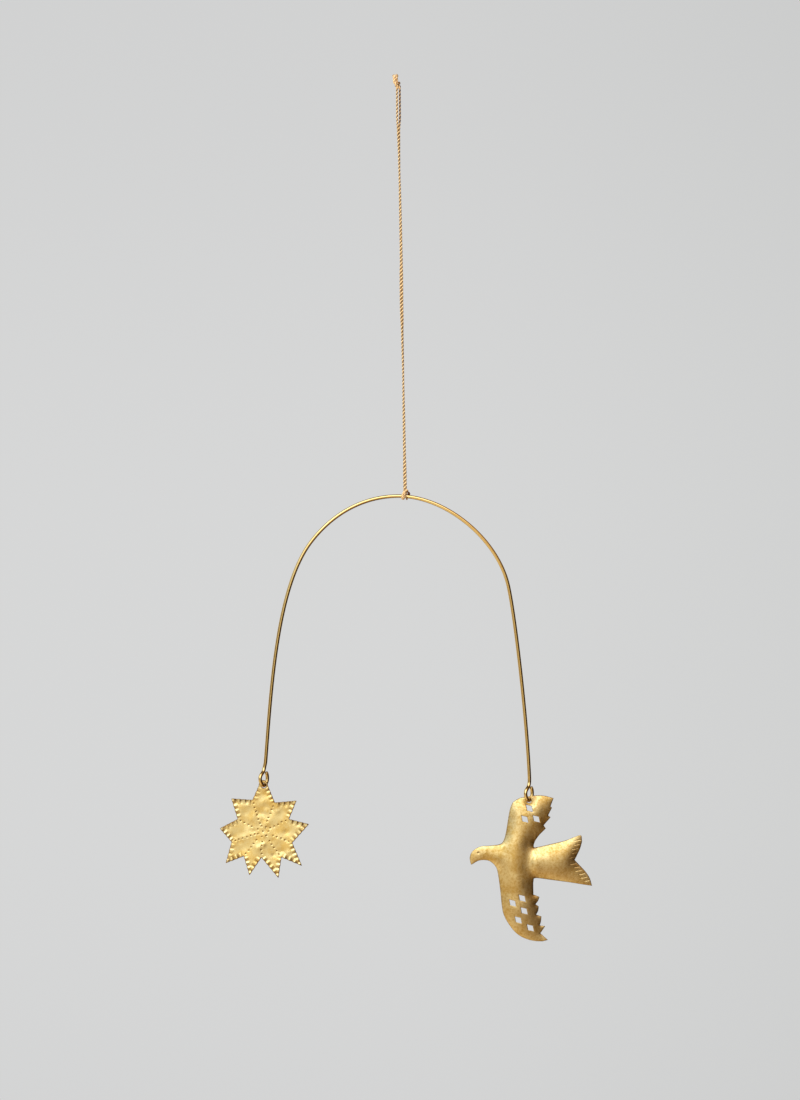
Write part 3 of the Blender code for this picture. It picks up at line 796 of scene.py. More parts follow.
@dataclass
class Sheet:
    """A cut and worked sheet of brass that hangs by a hole. Its shape is in millimetres across and up."""

    pendant: ClassVar[Pendant]
    piece_name: ClassVar[str]
    slot: ClassVar[str]

    pivot: Points
    thick: float = 0.8
    grid: float = 0.4
    hole_r: float = 1.22
    hole_sides: int = 36
    edge_round: float = 0.22

    def hole_centre(self) -> Points:
        """Returns the middle of the hole, below the wire that carries the sheet."""
        wire = WireArch()
        return row(0.0, wire.thick / 2 + wire.gap - self.hole_r)

    def outline(self) -> list[Points]:
        """Returns the sheet's edge, clockwise."""
        raise NotImplementedError

    def cuts(self) -> list[list[Points]]:
        """Returns the holes through the sheet."""
        return [ring(self.hole_centre(), self.hole_r, self.hole_sides)]

    def extra_points(self) -> list[Points]:
        """Returns places where the relief needs more points than the grid has."""
        return []

    def relief(self, flat: Points, depth: Points) -> Points:
        """Returns how far the sheet stands forward at each place, given its distance from an edge."""
        raise NotImplementedError

    def marks(self, flat: Points, depth: Points) -> dict[str, Points]:
        """Returns the mark of painted shade and stains, and the rubbed mark, for the finish at each place."""
        raise NotImplementedError

    def staggered(self, loop: list) -> Points:
        """Returns rows of points over the box of an outline, each row set half a step along from the last."""
        low, high = np.min(loop, axis=0), np.max(loop, axis=0)
        rise = self.grid * math.sqrt(0.75)
        across = np.arange(low[0], high[0], self.grid)
        levels = np.arange(low[1], high[1], rise)
        rows = [np.stack([across + (i % 2) * self.grid / 2, np.full(len(across), level)], axis=1)
                for i, level in enumerate(levels)]
        return np.concatenate(rows)

    def rim_points(self, loops: list) -> Points:
        """Returns rows of points just inside the edges, where they are rounded over."""
        rows = []
        for sign, loop in zip([-1.0] + [1.0] * (len(loops) - 1), loops):
            ends = np.asarray(loop)
            after = np.roll(ends, -1, axis=0)
            along = after - np.roll(ends, 1, axis=0)
            along /= np.linalg.norm(along, axis=1)[:, None]
            turn = np.sign(np.sum((after - ends)[:, 0] * (after + ends)[:, 1]))
            inward = np.stack([along[:, 1], -along[:, 0]], axis=1) * turn * -sign
            for share in (0.35, 1.0):
                reach = share * self.edge_round
                moved = ends + inward * reach
                rows.append(moved[edge_distance(moved, loops) > 0.8 * reach])
        return np.concatenate(rows)

    def flat_net(self) -> tuple[Points, Points, Points]:
        """Lays out the sheet's flat points and triangles.

        Returns:
            The points, the triangles, and each point's distance from the nearest edge.
        """
        loops = [finer(loop, self.grid) for loop in (self.outline(), *self.cuts())]
        inner = self.staggered(loops[0])
        extra = np.array(self.extra_points()).reshape(-1, 2)
        if len(extra):
            inner = inner[distance_to(inner, extra) > 0.45 * self.grid]
        inner = inner[edge_distance(inner, loops) > self.edge_round + 0.3 * self.grid]
        inner = np.concatenate([inner, self.rim_points(loops), extra])
        inner = inner[in_sheet(inner, loops)]
        points = [Vector(p) for loop in loops for p in loop] + [Vector(p) for p in inner]
        edges, first = [], 0
        for loop in loops:
            edges += [(first + i, first + (i + 1) % len(loop)) for i in range(len(loop))]
            first += len(loop)
        flat, _, faces, *_ = delaunay_2d_cdt(points, edges, [], 1, 1e-6)
        flat = np.array([tuple(p) for p in flat])
        faces = np.array([tuple(f) for f in faces])
        solid = in_sheet(flat[faces].mean(axis=1), loops)
        return flat, faces[solid], edge_distance(flat, loops)

    def body(self) -> tuple[Points, list, dict[str, Points]]:
        """Builds the closed sheet.

        Returns:
            Its points, its faces, and its marks.
        """
        flat, faces, depth = self.flat_net()
        used = np.unique(faces)
        number = np.full(len(flat), -1)
        number[used] = np.arange(len(used))
        flat, depth, faces = flat[used], depth[used], number[faces]
        push = self.relief(flat, depth)
        shy = np.clip(1.0 - depth / self.edge_round, 0.0, 1.0)
        fall = self.edge_round * (1.0 - np.sqrt(1.0 - shy ** 2)) * 0.9
        half = self.thick / 2 - np.minimum(fall, 0.42 * self.thick)
        front = np.stack([flat[:, 0], -half - push, flat[:, 1]], axis=1)
        back = np.stack([flat[:, 0], half - push, flat[:, 1]], axis=1)
        count = len(flat)
        made = [tuple(f) for f in faces] + [tuple(f[::-1] + count) for f in faces]
        directed = {(a, b) for f in faces.tolist() for a, b in zip(f, f[1:] + f[:1])}
        for a, b in sorted(directed):
            if (b, a) not in directed:
                made.append((b, a, a + count, b + count))
        marks = self.marks(flat, depth)
        marks = {name: np.concatenate([values, values]) for name, values in marks.items()}
        return np.concatenate([front, back]) + self.pivot, made, marks

    def build(self, finish: bpy.types.Material) -> bpy.types.Object:
        """Makes the ornament.

        Args:
            finish: Its material.

        Returns:
            The ornament, riding on its own body.
        """
        vertices, faces, marks = self.body()
        made = mesh_object(self.piece_name, vertices, faces, finish, marks)
        return hang(made, self.pendant, self.slot)


@dataclass
class HammeredStar(Sheet):
    """The nine-pointed star: softly dented, with rows of punched dots and flutes stamped round its edge."""

    pendant: ClassVar[Pendant] = Pendant.STAR
    piece_name: ClassVar[str] = "hammered_star"
    slot: ClassVar[str] = "hammered_brass"

    thick: float = 0.9
    grid: float = 0.34
    reach: float = 26.0
    hang: float = 22.9
    shift: float = -0.8
    tip_r: float = 2.3
    tip_rise: float = 2.8
    tip_shift: float = -0.3
    tips: tuple = ((48.4, 0.875), (82.0, 0.895), (132.5, 1.0), (162.7, 0.945),
                   (198.2, 0.885), (230.6, 0.945), (275.0, 0.835), (317.0, 0.88))
    valleys: tuple = ((23.2, 0.60), (65.6, 0.555), (112.2, 0.605), (145.6, 0.61), (184.4, 0.505),
                      (218.8, 0.605), (252.4, 0.64), (297.0, 0.545), (342.3, 0.64))
    flute_pitch: float = 2.5
    flute_length: float = 2.3
    flute_depth: float = 0.26
    dot_pitch: float = 2.1
    dot_r: float = 0.4
    dot_depth: float = 0.3
    dot_start: float = 1.8
    dot_seed: int = 5
    dot_stray: float = 0.12
    middle_dots: int = 7
    middle_ring: float = 1.3
    blunt: float = 0.02
    scallop: float = 0.07
    blow_seed: int = 11
    blows: int = 150
    blow_deep: float = 0.11
    blow_wide: tuple[float, float] = (1.0, 2.2)
    calm_rim: float = 3.0
    # Broad dents as (degrees clockwise from the top, share of the reach, radius, how far pushed back)
    dents: tuple = ((230.0, 0.49, 3.4, 0.34), (87.0, 0.40, 4.2, 0.32), (10.0, 0.42, 3.8, 0.24),
                    (300.0, 0.36, 3.6, 0.22), (150.0, 0.45, 3.2, 0.24), (195.0, 0.36, 3.0, -0.16),
                    (48.0, 0.46, 3.0, 0.18), (265.0, 0.52, 3.0, 0.2), (335.0, 0.30, 2.6, -0.14),
                    (120.0, 0.30, 2.6, -0.16), (60.0, 0.20, 2.4, 0.12), (0.0, 0.70, 2.4, 0.14))

    def polar(self, degrees: float, share: float) -> Points:
        """Returns a place by its angle clockwise from the top and its share of the reach."""
        angle = math.radians(degrees)
        away = self.reach * share
        return row(self.shift + away * math.sin(angle), away * math.cos(angle) - self.hang)

    def corners(self) -> list[Points]:
        """Returns valleys and points in turn, clockwise from the valley after the top point."""
        made = [self.polar(*self.valleys[0])]
        for tip, valley in zip(self.tips, self.valleys[1:]):
            made += [self.polar(*tip), self.polar(*valley)]
        return made

    def top(self) -> list[Points]:
        """Returns the rounded top point round the hole, clockwise."""
        x, z = self.hole_centre()
        steps = 24
        angles = [math.pi * (1 - i / steps) for i in range(steps + 1)]
        return [row(x + self.tip_shift + self.tip_r * math.cos(a), z + self.tip_rise * math.sin(a))
                for a in angles]

    def sides_of_points(self) -> list[tuple[Points, Points]]:
        """Returns the two ends of each straight stretch of the edge."""
        corners, top = self.corners(), self.top()
        return [*zip(corners, corners[1:]), (corners[-1], top[0]), (top[-1], corners[0])]

    def outline(self) -> list[Points]:
        """Returns the edge, clockwise, a little scalloped by the flutes and blunt at the points."""
        made = []
        for number, (start, end) in enumerate(self.sides_of_points()):
            length = np.linalg.norm(end - start)
            way = (end - start) / length
            out = row(-way[1], way[0])
            flutes = max(2, round(length / self.flute_pitch))
            steps = int(length / self.grid)
            for i in range(steps):
                share = self.blunt + (1 - 2 * self.blunt) * i / (steps - 1)
                wave = self.scallop * math.cos(2 * math.pi * flutes * share) * math.sin(math.pi * share)
                made.append(start + way * length * share - out * wave)
            if number == len(self.corners()) - 1:
                made += self.top()
        return made

    def dots(self) -> list[Points]:
        """Returns the middles of the punched dots: a row from each valley, and a ring about the middle."""
        middle = self.polar(0.0, 0.0)
        made = [middle, *ring(middle, self.middle_ring * self.dot_pitch, self.middle_dots)]
        scatter = np.random.default_rng(self.dot_seed)
        for valley in self.valleys:
            start = self.polar(*valley)
            length = np.linalg.norm(middle - start)
            inward = (middle - start) / length
            room = length - 2 * self.dot_pitch - self.dot_start
            made += [start + inward * (self.dot_start + self.dot_pitch * i)
                     + scatter.normal(0.0, self.dot_stray, 2) for i in range(int(room / self.dot_pitch) + 1)]
        return made

    def extra_points(self) -> list[Points]:
        """Returns points in and round each dot."""
        made = []
        for dot in self.dots():
            made.append(dot)
            for share, sides in ((0.5, 6), (1.0, 9), (1.6, 12)):
                made += ring(dot, share * self.dot_r, sides, share)
        return made

    def flutes(self, flat: Points) -> Points:
        """The stamped flutes: 1 on a ridge, -1 in a groove, 0 away from the edge.

        Args:
            flat: Places in the sheet.

        Returns:
            One value for each place.
        """
        nearest, wave = np.full(len(flat), np.inf), np.zeros(len(flat))
        for start, end in self.sides_of_points():
            length = np.linalg.norm(end - start)
            way = (end - start) / length
            t = np.clip((flat - start) @ way, 0.0, length)
            away = np.linalg.norm(flat - start - t[:, None] * way, axis=1)
            count = max(2, round(length / self.flute_pitch))
            ridge = -np.cos(2 * math.pi * count * t / length)
            ends = np.clip(np.minimum(t, length - t) / (0.35 * self.flute_pitch), 0.0, 1.0)
            closer = away < nearest
            wave[closer] = (ridge * ends)[closer]
            nearest = np.minimum(nearest, away)
        fade = np.clip(1.0 - nearest / self.flute_length, 0.0, 1.0)
        return wave * fade ** 0.7 * np.clip(nearest / 0.15 + 0.4, 0.0, 1.0)

    def dot_hollows(self, flat: Points) -> Points:
        """Returns 1 in the middle of a dot, falling to 0 round it."""
        dots = np.array(self.dots())
        away = np.min([np.linalg.norm(flat - dot, axis=1) for dot in dots], axis=0)
        return bump(away, 0.8 * self.dot_r)

    def relief(self, flat: Points, depth: Points) -> Points:
        """Returns how far the star stands forward at each place."""
        push = self.flute_depth * self.flutes(flat) - self.dot_depth * self.dot_hollows(flat)
        for degrees, share, radius, back in self.dents:
            push -= back * bump(np.linalg.norm(flat - self.polar(degrees, share), axis=1), radius)
        draw = np.random.default_rng(self.blow_seed)
        calm = np.clip(depth / self.calm_rim, 0.25, 1.0)
        for _ in range(self.blows):
            place = self.polar(draw.uniform(0, 360), math.sqrt(draw.uniform(0.0, 0.8)))
            deep = draw.normal(0.0, self.blow_deep)
            push += calm * deep * bump(np.linalg.norm(flat - place, axis=1), draw.uniform(*self.blow_wide))
        clear = np.clip((np.linalg.norm(flat - self.hole_centre(), axis=1) - self.hole_r) / 2.0, 0.0, 1.0)
        return push * clear

    def marks(self, flat: Points, depth: Points) -> dict[str, Points]:
        """Returns the painted shade in the dots, the flutes' grooves and along the edge, and the rubbed
        ridges, for the finish at each place.
        """
        flutes = self.flutes(flat)
        # Painted shade: dark in the punched dots, in the flutes' grooves and in a thin band along the edge.
        rim = np.clip(1.35 - depth / 0.45, 0.0, 1.0)
        grooves = 0.8 * np.clip(-1.2 * flutes, 0, 1)
        shade_and_stain = np.maximum.reduce([self.dot_hollows(flat), grooves, 0.85 * rim])
        return {"shade_and_stain": shade_and_stain, "rubbed": np.clip(flutes, 0.0, 1.0) * 0.6}


@dataclass
class PiercedBird(Sheet):
    """The domed bird: two notched wings, a head and a forked tail, with leaning four-sided holes.

    Its outline is in shares of its height, across and up from the wire that carries it.
    """

    pendant: ClassVar[Pendant] = Pendant.BIRD
    piece_name: ClassVar[str] = "domed_bird"
    slot: ClassVar[str] = "brushed_brass"

    thick: float = 0.75
    grid: float = 0.42
    height: float = 73.0
    crown: float = 2.9
    film_step: float = 0.4
    film_turns: int = 260
    film_full: float = 45.0
    film_round: float = 0.85
    flat_r: float = 4.4
    rim_r: float = 4.6
    tail_fold: tuple = ((0.034, -0.315), (0.004, -0.355), (-0.008, -0.42), (-0.002, -0.485), (0.030, -0.537))
    fold_wide: tuple[float, float] = (5.0, 2.4)
    fold_share: float = 0.32
    lozenge_long: float = 4.9
    lozenge_lean: float = -47.0
    lozenge_short: float = 3.1
    lozenge_tilt: float = 43.0
    lozenges: tuple = ((0.002, -0.053), (-0.031, -0.126), (0.048, -0.126), (-0.058, -0.667), (-0.124, -0.699),
                       (-0.046, -0.754), (-0.087, -0.816), (-0.005, -0.872))
    eye: tuple[float, float] = (-0.353, -0.352)
    eye_r: float = 0.42
    stroke_long: float = 2.9
    stroke_way: float = 188.0
    stroke_wide: float = 0.15
    stroke_deep: float = 0.08
    fork_wide: float = 3.2
    fork_dark: float = 0.48
    stain_and_shade_most: float = 0.62
    eye_deep: float = 0.3
    blow_seed: int = 23
    blows: int = 170
    blow_deep: float = 0.022
    blow_wide: tuple[float, float] = (1.6, 4.5)
    calm_rim: float = 3.0
    # Runs of the outline: each is a smooth curve through its points, and runs meet at corners
    runs: tuple = (
        ((-0.404, -0.434), (-0.412, -0.384), (-0.391, -0.340), (-0.338, -0.310), (-0.272, -0.305),
         (-0.205, -0.296), (-0.178, -0.270), (-0.160, -0.209), (-0.136, -0.078), (-0.119, -0.027),
         (-0.103, -0.005), (-0.058, 0.019), (0.007, 0.030), (0.055, 0.034), (0.110, 0.030), (0.169, 0.013)),
        ((0.147, -0.043), (0.157, -0.052)),
        ((0.130, -0.104), (0.146, -0.118)),
        ((0.098, -0.172), (0.112, -0.194)),
        ((0.068, -0.236), (0.040, -0.274), (0.027, -0.314), (0.048, -0.321), (0.160, -0.298), (0.244, -0.279),
         (0.307, -0.256), (0.343, -0.244), (0.357, -0.250)),
        ((0.359, -0.288), (0.342, -0.342), (0.306, -0.413)),
        ((0.342, -0.452), (0.381, -0.496), (0.408, -0.540), (0.422, -0.592)),
        ((0.348, -0.580), (0.270, -0.566), (0.152, -0.548), (0.052, -0.533), (0.024, -0.536)),
        ((0.020, -0.565), (0.020, -0.645)),
        ((0.061, -0.662), (0.050, -0.690), (0.033, -0.711)),
        ((0.055, -0.728), (0.050, -0.758), (0.036, -0.783)),
        ((0.072, -0.796), (0.068, -0.830), (0.060, -0.857)),
        ((0.097, -0.863), (0.063, -0.911)),
        ((0.113, -0.958),),
        ((0.077, -0.967), (0.014, -0.962), (-0.049, -0.942), (-0.104, -0.906), (-0.149, -0.850),
         (-0.182, -0.790), (-0.197, -0.727), (-0.208, -0.603), (-0.224, -0.482), (-0.244, -0.439),
         (-0.277, -0.411), (-0.315, -0.403), (-0.355, -0.408), (-0.386, -0.425)),
    )
    # Brown patches as (across, up, radius, how dark), in shares of the height: partly stains, partly painted
    # shade where the body and wings turn away from the light
    stains_and_shade: tuple = ((0.02, -0.74, 0.10, 0.38), (0.04, -0.85, 0.09, 0.38), (-0.08, -0.80, 0.08, 0.20),
                     (0.09, -0.16, 0.07, 0.28), (0.03, -0.25, 0.06, 0.30), (0.0, -0.60, 0.06, 0.34),
                     (0.26, -0.43, 0.06, 0.34), (0.20, -0.47, 0.06, 0.12), (-0.22, -0.40, 0.04, 0.14),
                     (-0.04, -0.30, 0.05, 0.12), (-0.07, -0.62, 0.05, 0.15), (-0.02, -0.44, 0.04, 0.2))
    # Edges of the tail's fork that carry engraved strokes, as (start, end, number of strokes)
    forks: tuple = (((0.358, -0.262), (0.311, -0.405), 5), ((0.313, -0.423), (0.416, -0.566), 6))

    def at(self, share: tuple[float, float]) -> Points:
        """Returns a place given in shares of the height."""
        return row(*share) * self.height

    def outline(self) -> list[Points]:
        """Returns the bird's edge, clockwise."""
        made = []
        for run in self.runs:
            points = [self.at(p) for p in run]
            made += through(points, False, 7) if len(points) > 2 else points
        return made

    def cuts(self) -> list[list[Points]]:
        """Returns the wire's hole and the leaning four-sided holes."""
        long = heading(self.lozenge_lean)[[0, 2]] * self.lozenge_long / 2
        short = heading(self.lozenge_tilt)[[0, 2]] * self.lozenge_short / 2
        cut = [[self.at(c) + v for v in (long, short, -long, -short)] for c in self.lozenges]
        return [ring(self.hole_centre(), self.hole_r, self.hole_sides), *cut]

    def strokes(self) -> list[tuple[Points, Points]]:
        """Returns the two ends of each engraved stroke along the tail's fork."""
        made = []
        for start, end, count in self.forks:
            a, b = self.at(start), self.at(end)
            inward = heading(self.stroke_way)[[0, 2]]
            for i in range(count):
                foot = a + (b - a) * (i + 0.5) / count + inward * 0.4
                made.append((foot, foot + inward * self.stroke_long * (1.0 - 0.25 * (i % 2))))
        return made

    def extra_points(self) -> list[Points]:
        """Returns points along the engraved strokes and in the eye."""
        made = [self.at(self.eye)]
        for share, sides in ((0.5, 6), (1.0, 10), (1.7, 12)):
            made += ring(self.at(self.eye), share * self.eye_r, sides)
        for a, b in self.strokes():
            side = unit(row((b - a)[1], -(b - a)[0])) * self.stroke_wide
            for t in np.linspace(0.0, 1.0, 9):
                made += [a + (b - a) * t + side * k for k in (-1.2, -0.5, 0.0, 0.5, 1.2)]
        return made

    def stroke_hollows(self, flat: Points) -> Points:
        """Returns 1 in the middle of an engraved stroke, falling to 0 beside it."""
        best = np.zeros(len(flat))
        for a, b in self.strokes():
            t = np.clip((flat - a) @ (b - a) / ((b - a) @ (b - a)), 0.0, 1.0)
            away = np.linalg.norm(flat - a - t[:, None] * (b - a), axis=1)
            best = np.maximum(best, bump(away, self.stroke_wide))
        return best

    def cushion(self) -> tuple[Points, Points]:
        """A smooth cushion over the whole outline, as a film blown up from its edge.

        Returns:
            The lowest corner of its net, and its height at each knot of the net.
        """
        outline = finer(self.outline(), self.film_step)
        low = np.min(outline, axis=0) - 2 * self.film_step
        count = np.ceil((np.max(outline, axis=0) - low) / self.film_step).astype(int) + 3
        across, up = (low[k] + self.film_step * np.arange(count[k]) for k in (0, 1))
        net = np.stack(np.meshgrid(across, up, indexing="ij"), axis=-1).reshape(-1, 2)
        solid = inside(net, outline).reshape(count)[1:-1, 1:-1]
        odd = (np.add.outer(np.arange(count[0]), np.arange(count[1])) % 2 == 1)[1:-1, 1:-1]
        film = np.zeros(count)
        for _ in range(self.film_turns):
            for half in (solid & odd, solid & ~odd):
                around = film[:-2, 1:-1] + film[2:, 1:-1] + film[1:-1, :-2] + film[1:-1, 2:]
                lift = (around + self.film_step ** 2) / 4 - film[1:-1, 1:-1]
                film[1:-1, 1:-1] += 1.95 * lift * half
        return low, film

    def dome(self, flat: Points) -> Points:
        """How far the domed sheet stands forward of its rim.

        Args:
            flat: Places in the sheet.

        Returns:
            One value for each place.
        """
        low, film = self.cushion()
        place = (flat - low) / self.film_step
        cell = np.clip(np.floor(place).astype(int), 0, np.array(film.shape) - 2)
        u, v = (place - cell).T
        i, j = cell.T
        level = ((film[i, j] * (1 - u) + film[i + 1, j] * u) * (1 - v)
                 + (film[i, j + 1] * (1 - u) + film[i + 1, j + 1] * u) * v)
        fold = np.array(through([self.at(end) for end in self.tail_fold], False, 24))
        over = flat[:, 0] > np.interp(flat[:, 1], fold[::-1, 1], fold[::-1, 0])
        fall = bump(distance_to(flat, fold), np.where(over, self.fold_wide[1], self.fold_wide[0]))
        high = self.crown * (np.maximum(level, 0.0) / self.film_full) ** self.film_round
        return high * (1.0 - self.fold_share * fall)

    def relief(self, flat: Points, depth: Points) -> Points:
        """Returns how far the bird stands forward at each place."""
        rise = self.dome(np.array([self.hole_centre()]))[0]
        away = np.linalg.norm(flat - self.hole_centre(), axis=1)
        free = soft_step(away, self.hole_r + 0.6, self.flat_r)
        push = self.dome(flat) - rise
        push = np.where(push > 0.0, push * free, push * soft_step(away, self.hole_r + 0.3, self.rim_r))
        draw = np.random.default_rng(self.blow_seed)
        calm = np.clip(depth / self.calm_rim, 0.1, 1.0) * free
        for _ in range(self.blows):
            place = row(draw.uniform(-0.42, 0.42), draw.uniform(-0.97, 0.03)) * self.height
            size = draw.uniform(*self.blow_wide)
            deep = draw.normal(0.0, self.blow_deep * size)
            push += calm * deep * bump(np.linalg.norm(flat - place, axis=1), size)
        push -= self.stroke_deep * self.stroke_hollows(flat)
        return push - self.eye_deep * bump(np.linalg.norm(flat - self.at(self.eye), axis=1), self.eye_r)

    def marks(self, flat: Points, depth: Points) -> dict[str, Points]:
        """Returns the painted shade in the eye and along the edges, the stains with painted shade, and the
        rubbed strokes, for the finish at each place.
        """
        # Painted shade in the eye's dimple and along the edges.
        eye = bump(np.linalg.norm(flat - self.at(self.eye), axis=1), 0.9 * self.eye_r)
        rim = np.clip(1.0 - depth / 0.3, 0.0, 1.0)
        strokes = self.stroke_hollows(flat)
        stained_and_shaded = sum(dark * bump(np.linalg.norm(flat - self.at((x, z)), axis=1), radius * self.height)
                      for x, z, radius, dark in self.stains_and_shade)
        # A dark band along the fork's edges, which the strokes cut through.
        for start, end, _ in self.forks:
            edge = np.linspace(self.at(start), self.at(end), 60)
            stained_and_shaded = stained_and_shaded + self.fork_dark * bump(distance_to(flat, edge), self.fork_wide)
        shade_and_stain = np.maximum.reduce([0.9 * eye, 0.45 * rim, np.minimum(stained_and_shaded, self.stain_and_shade_most)])
        return {"shade_and_stain": shade_and_stain * (1 - strokes), "rubbed": strokes}


def hang(made: bpy.types.Object, pendant: Pendant, slot: str) -> bpy.types.Object:
    """Puts an ornament on its body in place of its plain solid.

    Args:
        made: The ornament.
        pendant: Which one it is.
        slot: The record's slot that its finish stands for; not used.

    Returns:
        The ornament, with crisp cut edges.
    """
    made.data.set_sharp_from_angle(angle=math.radians(62.0))
    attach(made, pendant.value)
    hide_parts(pendant.value)
    return made


# Cord

@dataclass
class TwistedStrand:
    """A strand laid from plies that wind round each other."""

    thick: float = 1.06
    turn: float = 1.87
    fats: tuple[float, float] = (0.31, 0.27)
    # Added to each ply's painted shade: the first ply stays lighter and the second is much darker.
    darks: tuple[float, float] = (-0.4, 0.9)
    lean: float = -2.96
    sides: int = 9
    step: float = 0.2

    def along(self, line: list, first: int = 0, phase: float = 0.0) -> tuple[Points, list, dict[str, Points]]:
        """Lays the plies along a line.

        Args:
            line: The strand's middle line, in millimetres.
            first: The number of points that are in the mesh already.
            phase: Where round the line the first ply starts, in radians.

        Returns:
            The plies' points, their faces and their marks.
        """
        middle = evenly(line, self.step)
        _, across, other = carried_frames(middle)
        run = run_along(middle)
        vertices, faces, threads, shade_and_dye = [], [], [], []
        for ply, (fat, dark) in enumerate(zip(self.fats, self.darks)):
            radius, off = fat * self.thick, (0.5 - fat) * self.thick
            angle = 2 * math.pi * (run / self.turn + ply / len(self.fats)) + phase + self.lean * middle[:, 0]
            path = middle + off * (across * np.cos(angle)[:, None] + other * np.sin(angle)[:, None])
            skin, sides, marks = swept(path, rounded_ends(len(path), radius, 2, 0.45), self.sides, first)
            away = np.linalg.norm(skin - np.repeat(middle, self.sides, axis=0), axis=1) / self.thick
            # Painted shade between the plies: the mark rises where a ply's skin lies nearer the strand's
            # middle.
            shade_and_dye.append(np.clip(dark + (0.46 - away) / 0.14, 0.0, 1.0))
            vertices.append(skin)
            threads.append(marks)
            faces += sides
            first += len(skin)
        marks = {"thread": np.concatenate(threads), "shade_and_stain": np.concatenate(shade_and_dye)}
        return np.concatenate(vertices), faces, marks

    def join(self, name: str, lines: list[list], finish: bpy.types.Material, phase: float = 0.0,
             shades: tuple[float, ...] = ()) -> bpy.types.Object:
        """Makes one piece from several strands.

        Args:
            name: The piece's name.
            lines: The middle line of each strand.
            finish: The piece's material.
            phase: Where round its line the first strand's first ply starts, in radians.
            shades: How much painted shade each strand has on top of that in its own gaps.

        Returns:
            The piece.
        """
        vertices, faces, threads, shade_and_dye = [], [], [], []
        first = 0
        for number, line in enumerate(lines):
            skin, sides, marks = self.along(line, first, phase + 0.9 * number)
            vertices.append(skin)
            threads.append(marks["thread"])
            shade_and_dye.append(np.clip(marks["shade_and_stain"] + (shades[number] if shades else 0.0), 0.0, 1.0))
            faces += sides
            first += len(skin)
        marks = {"thread": np.concatenate(threads), "shade_and_stain": np.concatenate(shade_and_dye)}
        return mesh_object(name, np.concatenate(vertices), faces, finish, marks)


@dataclass
class DoubledCord:
    """The two strands: apart at the hanging loop, then wound loosely round each other down to the arch."""

    strand: TwistedStrand
    wire: WireArch
    spread: float = 1.42
    close: float = 0.84
    top: float = 1.3
    knot_top: float = 3.4
    apart: float = 20.0
    twisted_length: float = 200.7
    points: int = 190
    lee_dark: float = 0.45
    lee_fade: float = 4.0
    # Stations as (depth, how far the strands are apart, degrees of twist, how far they sway across)
    stations: tuple = ((0.0, 1.0, 0.0, 0.0), (15.0, 1.0, 0.0, -0.15), (21.0, 0.0, 35.0, -0.26),
                       (28.0, 0.0, 60.0, -0.22), (33.0, 0.0, 75.0, -0.2), (45.0, 0.0, 90.0, -0.15),
                       (58.0, 0.0, 108.0, -0.05), (76.0, 0.0, 118.0, 0.0), (88.0, 0.0, 128.0, 0.0),
                       (93.0, 0.0, 160.0, -0.1), (110.0, 0.0, 198.0, -0.22), (117.0, 0.0, 222.0, -0.12),
                       (121.0, 0.0, 250.0, -0.1), (135.0, 0.0, 258.0, -0.05), (143.0, 0.0, 270.0, 0.0),
                       (153.0, 0.0, 277.0, 0.0), (165.0, 0.0, 295.0, 0.0), (185.0, 0.0, 302.0, 0.0),
                       (191.0, 0.0, 335.0, 0.0), (201.0, 0.0, 345.0, 0.0))

    def line(self, side: Side) -> list[Points]:
        """Returns one strand's middle line, from the knot on the arch up into the top knot."""
        bottom = self.wire.under_cord()[0][2] + self.knot_top - 1.0
        depths, openings, twists, sways = zip(*self.stations)
        made = []
        for i in range(self.points):
            z = bottom + (self.top - bottom) * i / (self.points - 1)
            depth = np.clip(-z / self.twisted_length, 0.0, 1.0) * depths[-1]
            away = self.close / 2 + (self.spread - self.close) / 2 * np.interp(depth, depths, openings)
            twist = math.radians(np.interp(depth, depths, twists))
            sway = np.interp(depth, depths, sways)
            away *= side.value
            made.append(row(sway + away * math.cos(twist), away * math.sin(twist), z))
        return made

    def shade(self, piece: bpy.types.Object) -> None:
        """Darkens a strand where it hangs apart, in the lee of the other one.

        Args:
            piece: The strand.
        """
        marks = piece.data.attributes["shade_and_stain"].data
        for mark, vertex in zip(marks, piece.data.vertices):
            lee = min(1.0, max(0.0, (vertex.co.z / MM + self.apart) / self.lee_fade))
            mark.value = min(1.0, mark.value + self.lee_dark * lee)

    def build(self, finish: bpy.types.Material, knots: list[bpy.types.Object]) -> list[bpy.types.Object]:
        """Makes the strands.

        Args:
            finish: Their material.
            knots: The top knot and the knot on the arch; not used.

        Returns:
            The strands, which twist between the hanger and the arch.
        """
        made = []
        for side, name in ((Side.LEFT, "left"), (Side.RIGHT, "right")):
            line = self.line(side)
            piece = self.strand.join(f"{name}_strand", [line], finish)
            if side is Side.RIGHT:
                self.shade(piece)
            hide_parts(f"cord_strand_{name}")
            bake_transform(piece)
            made.append(piece)
        return made


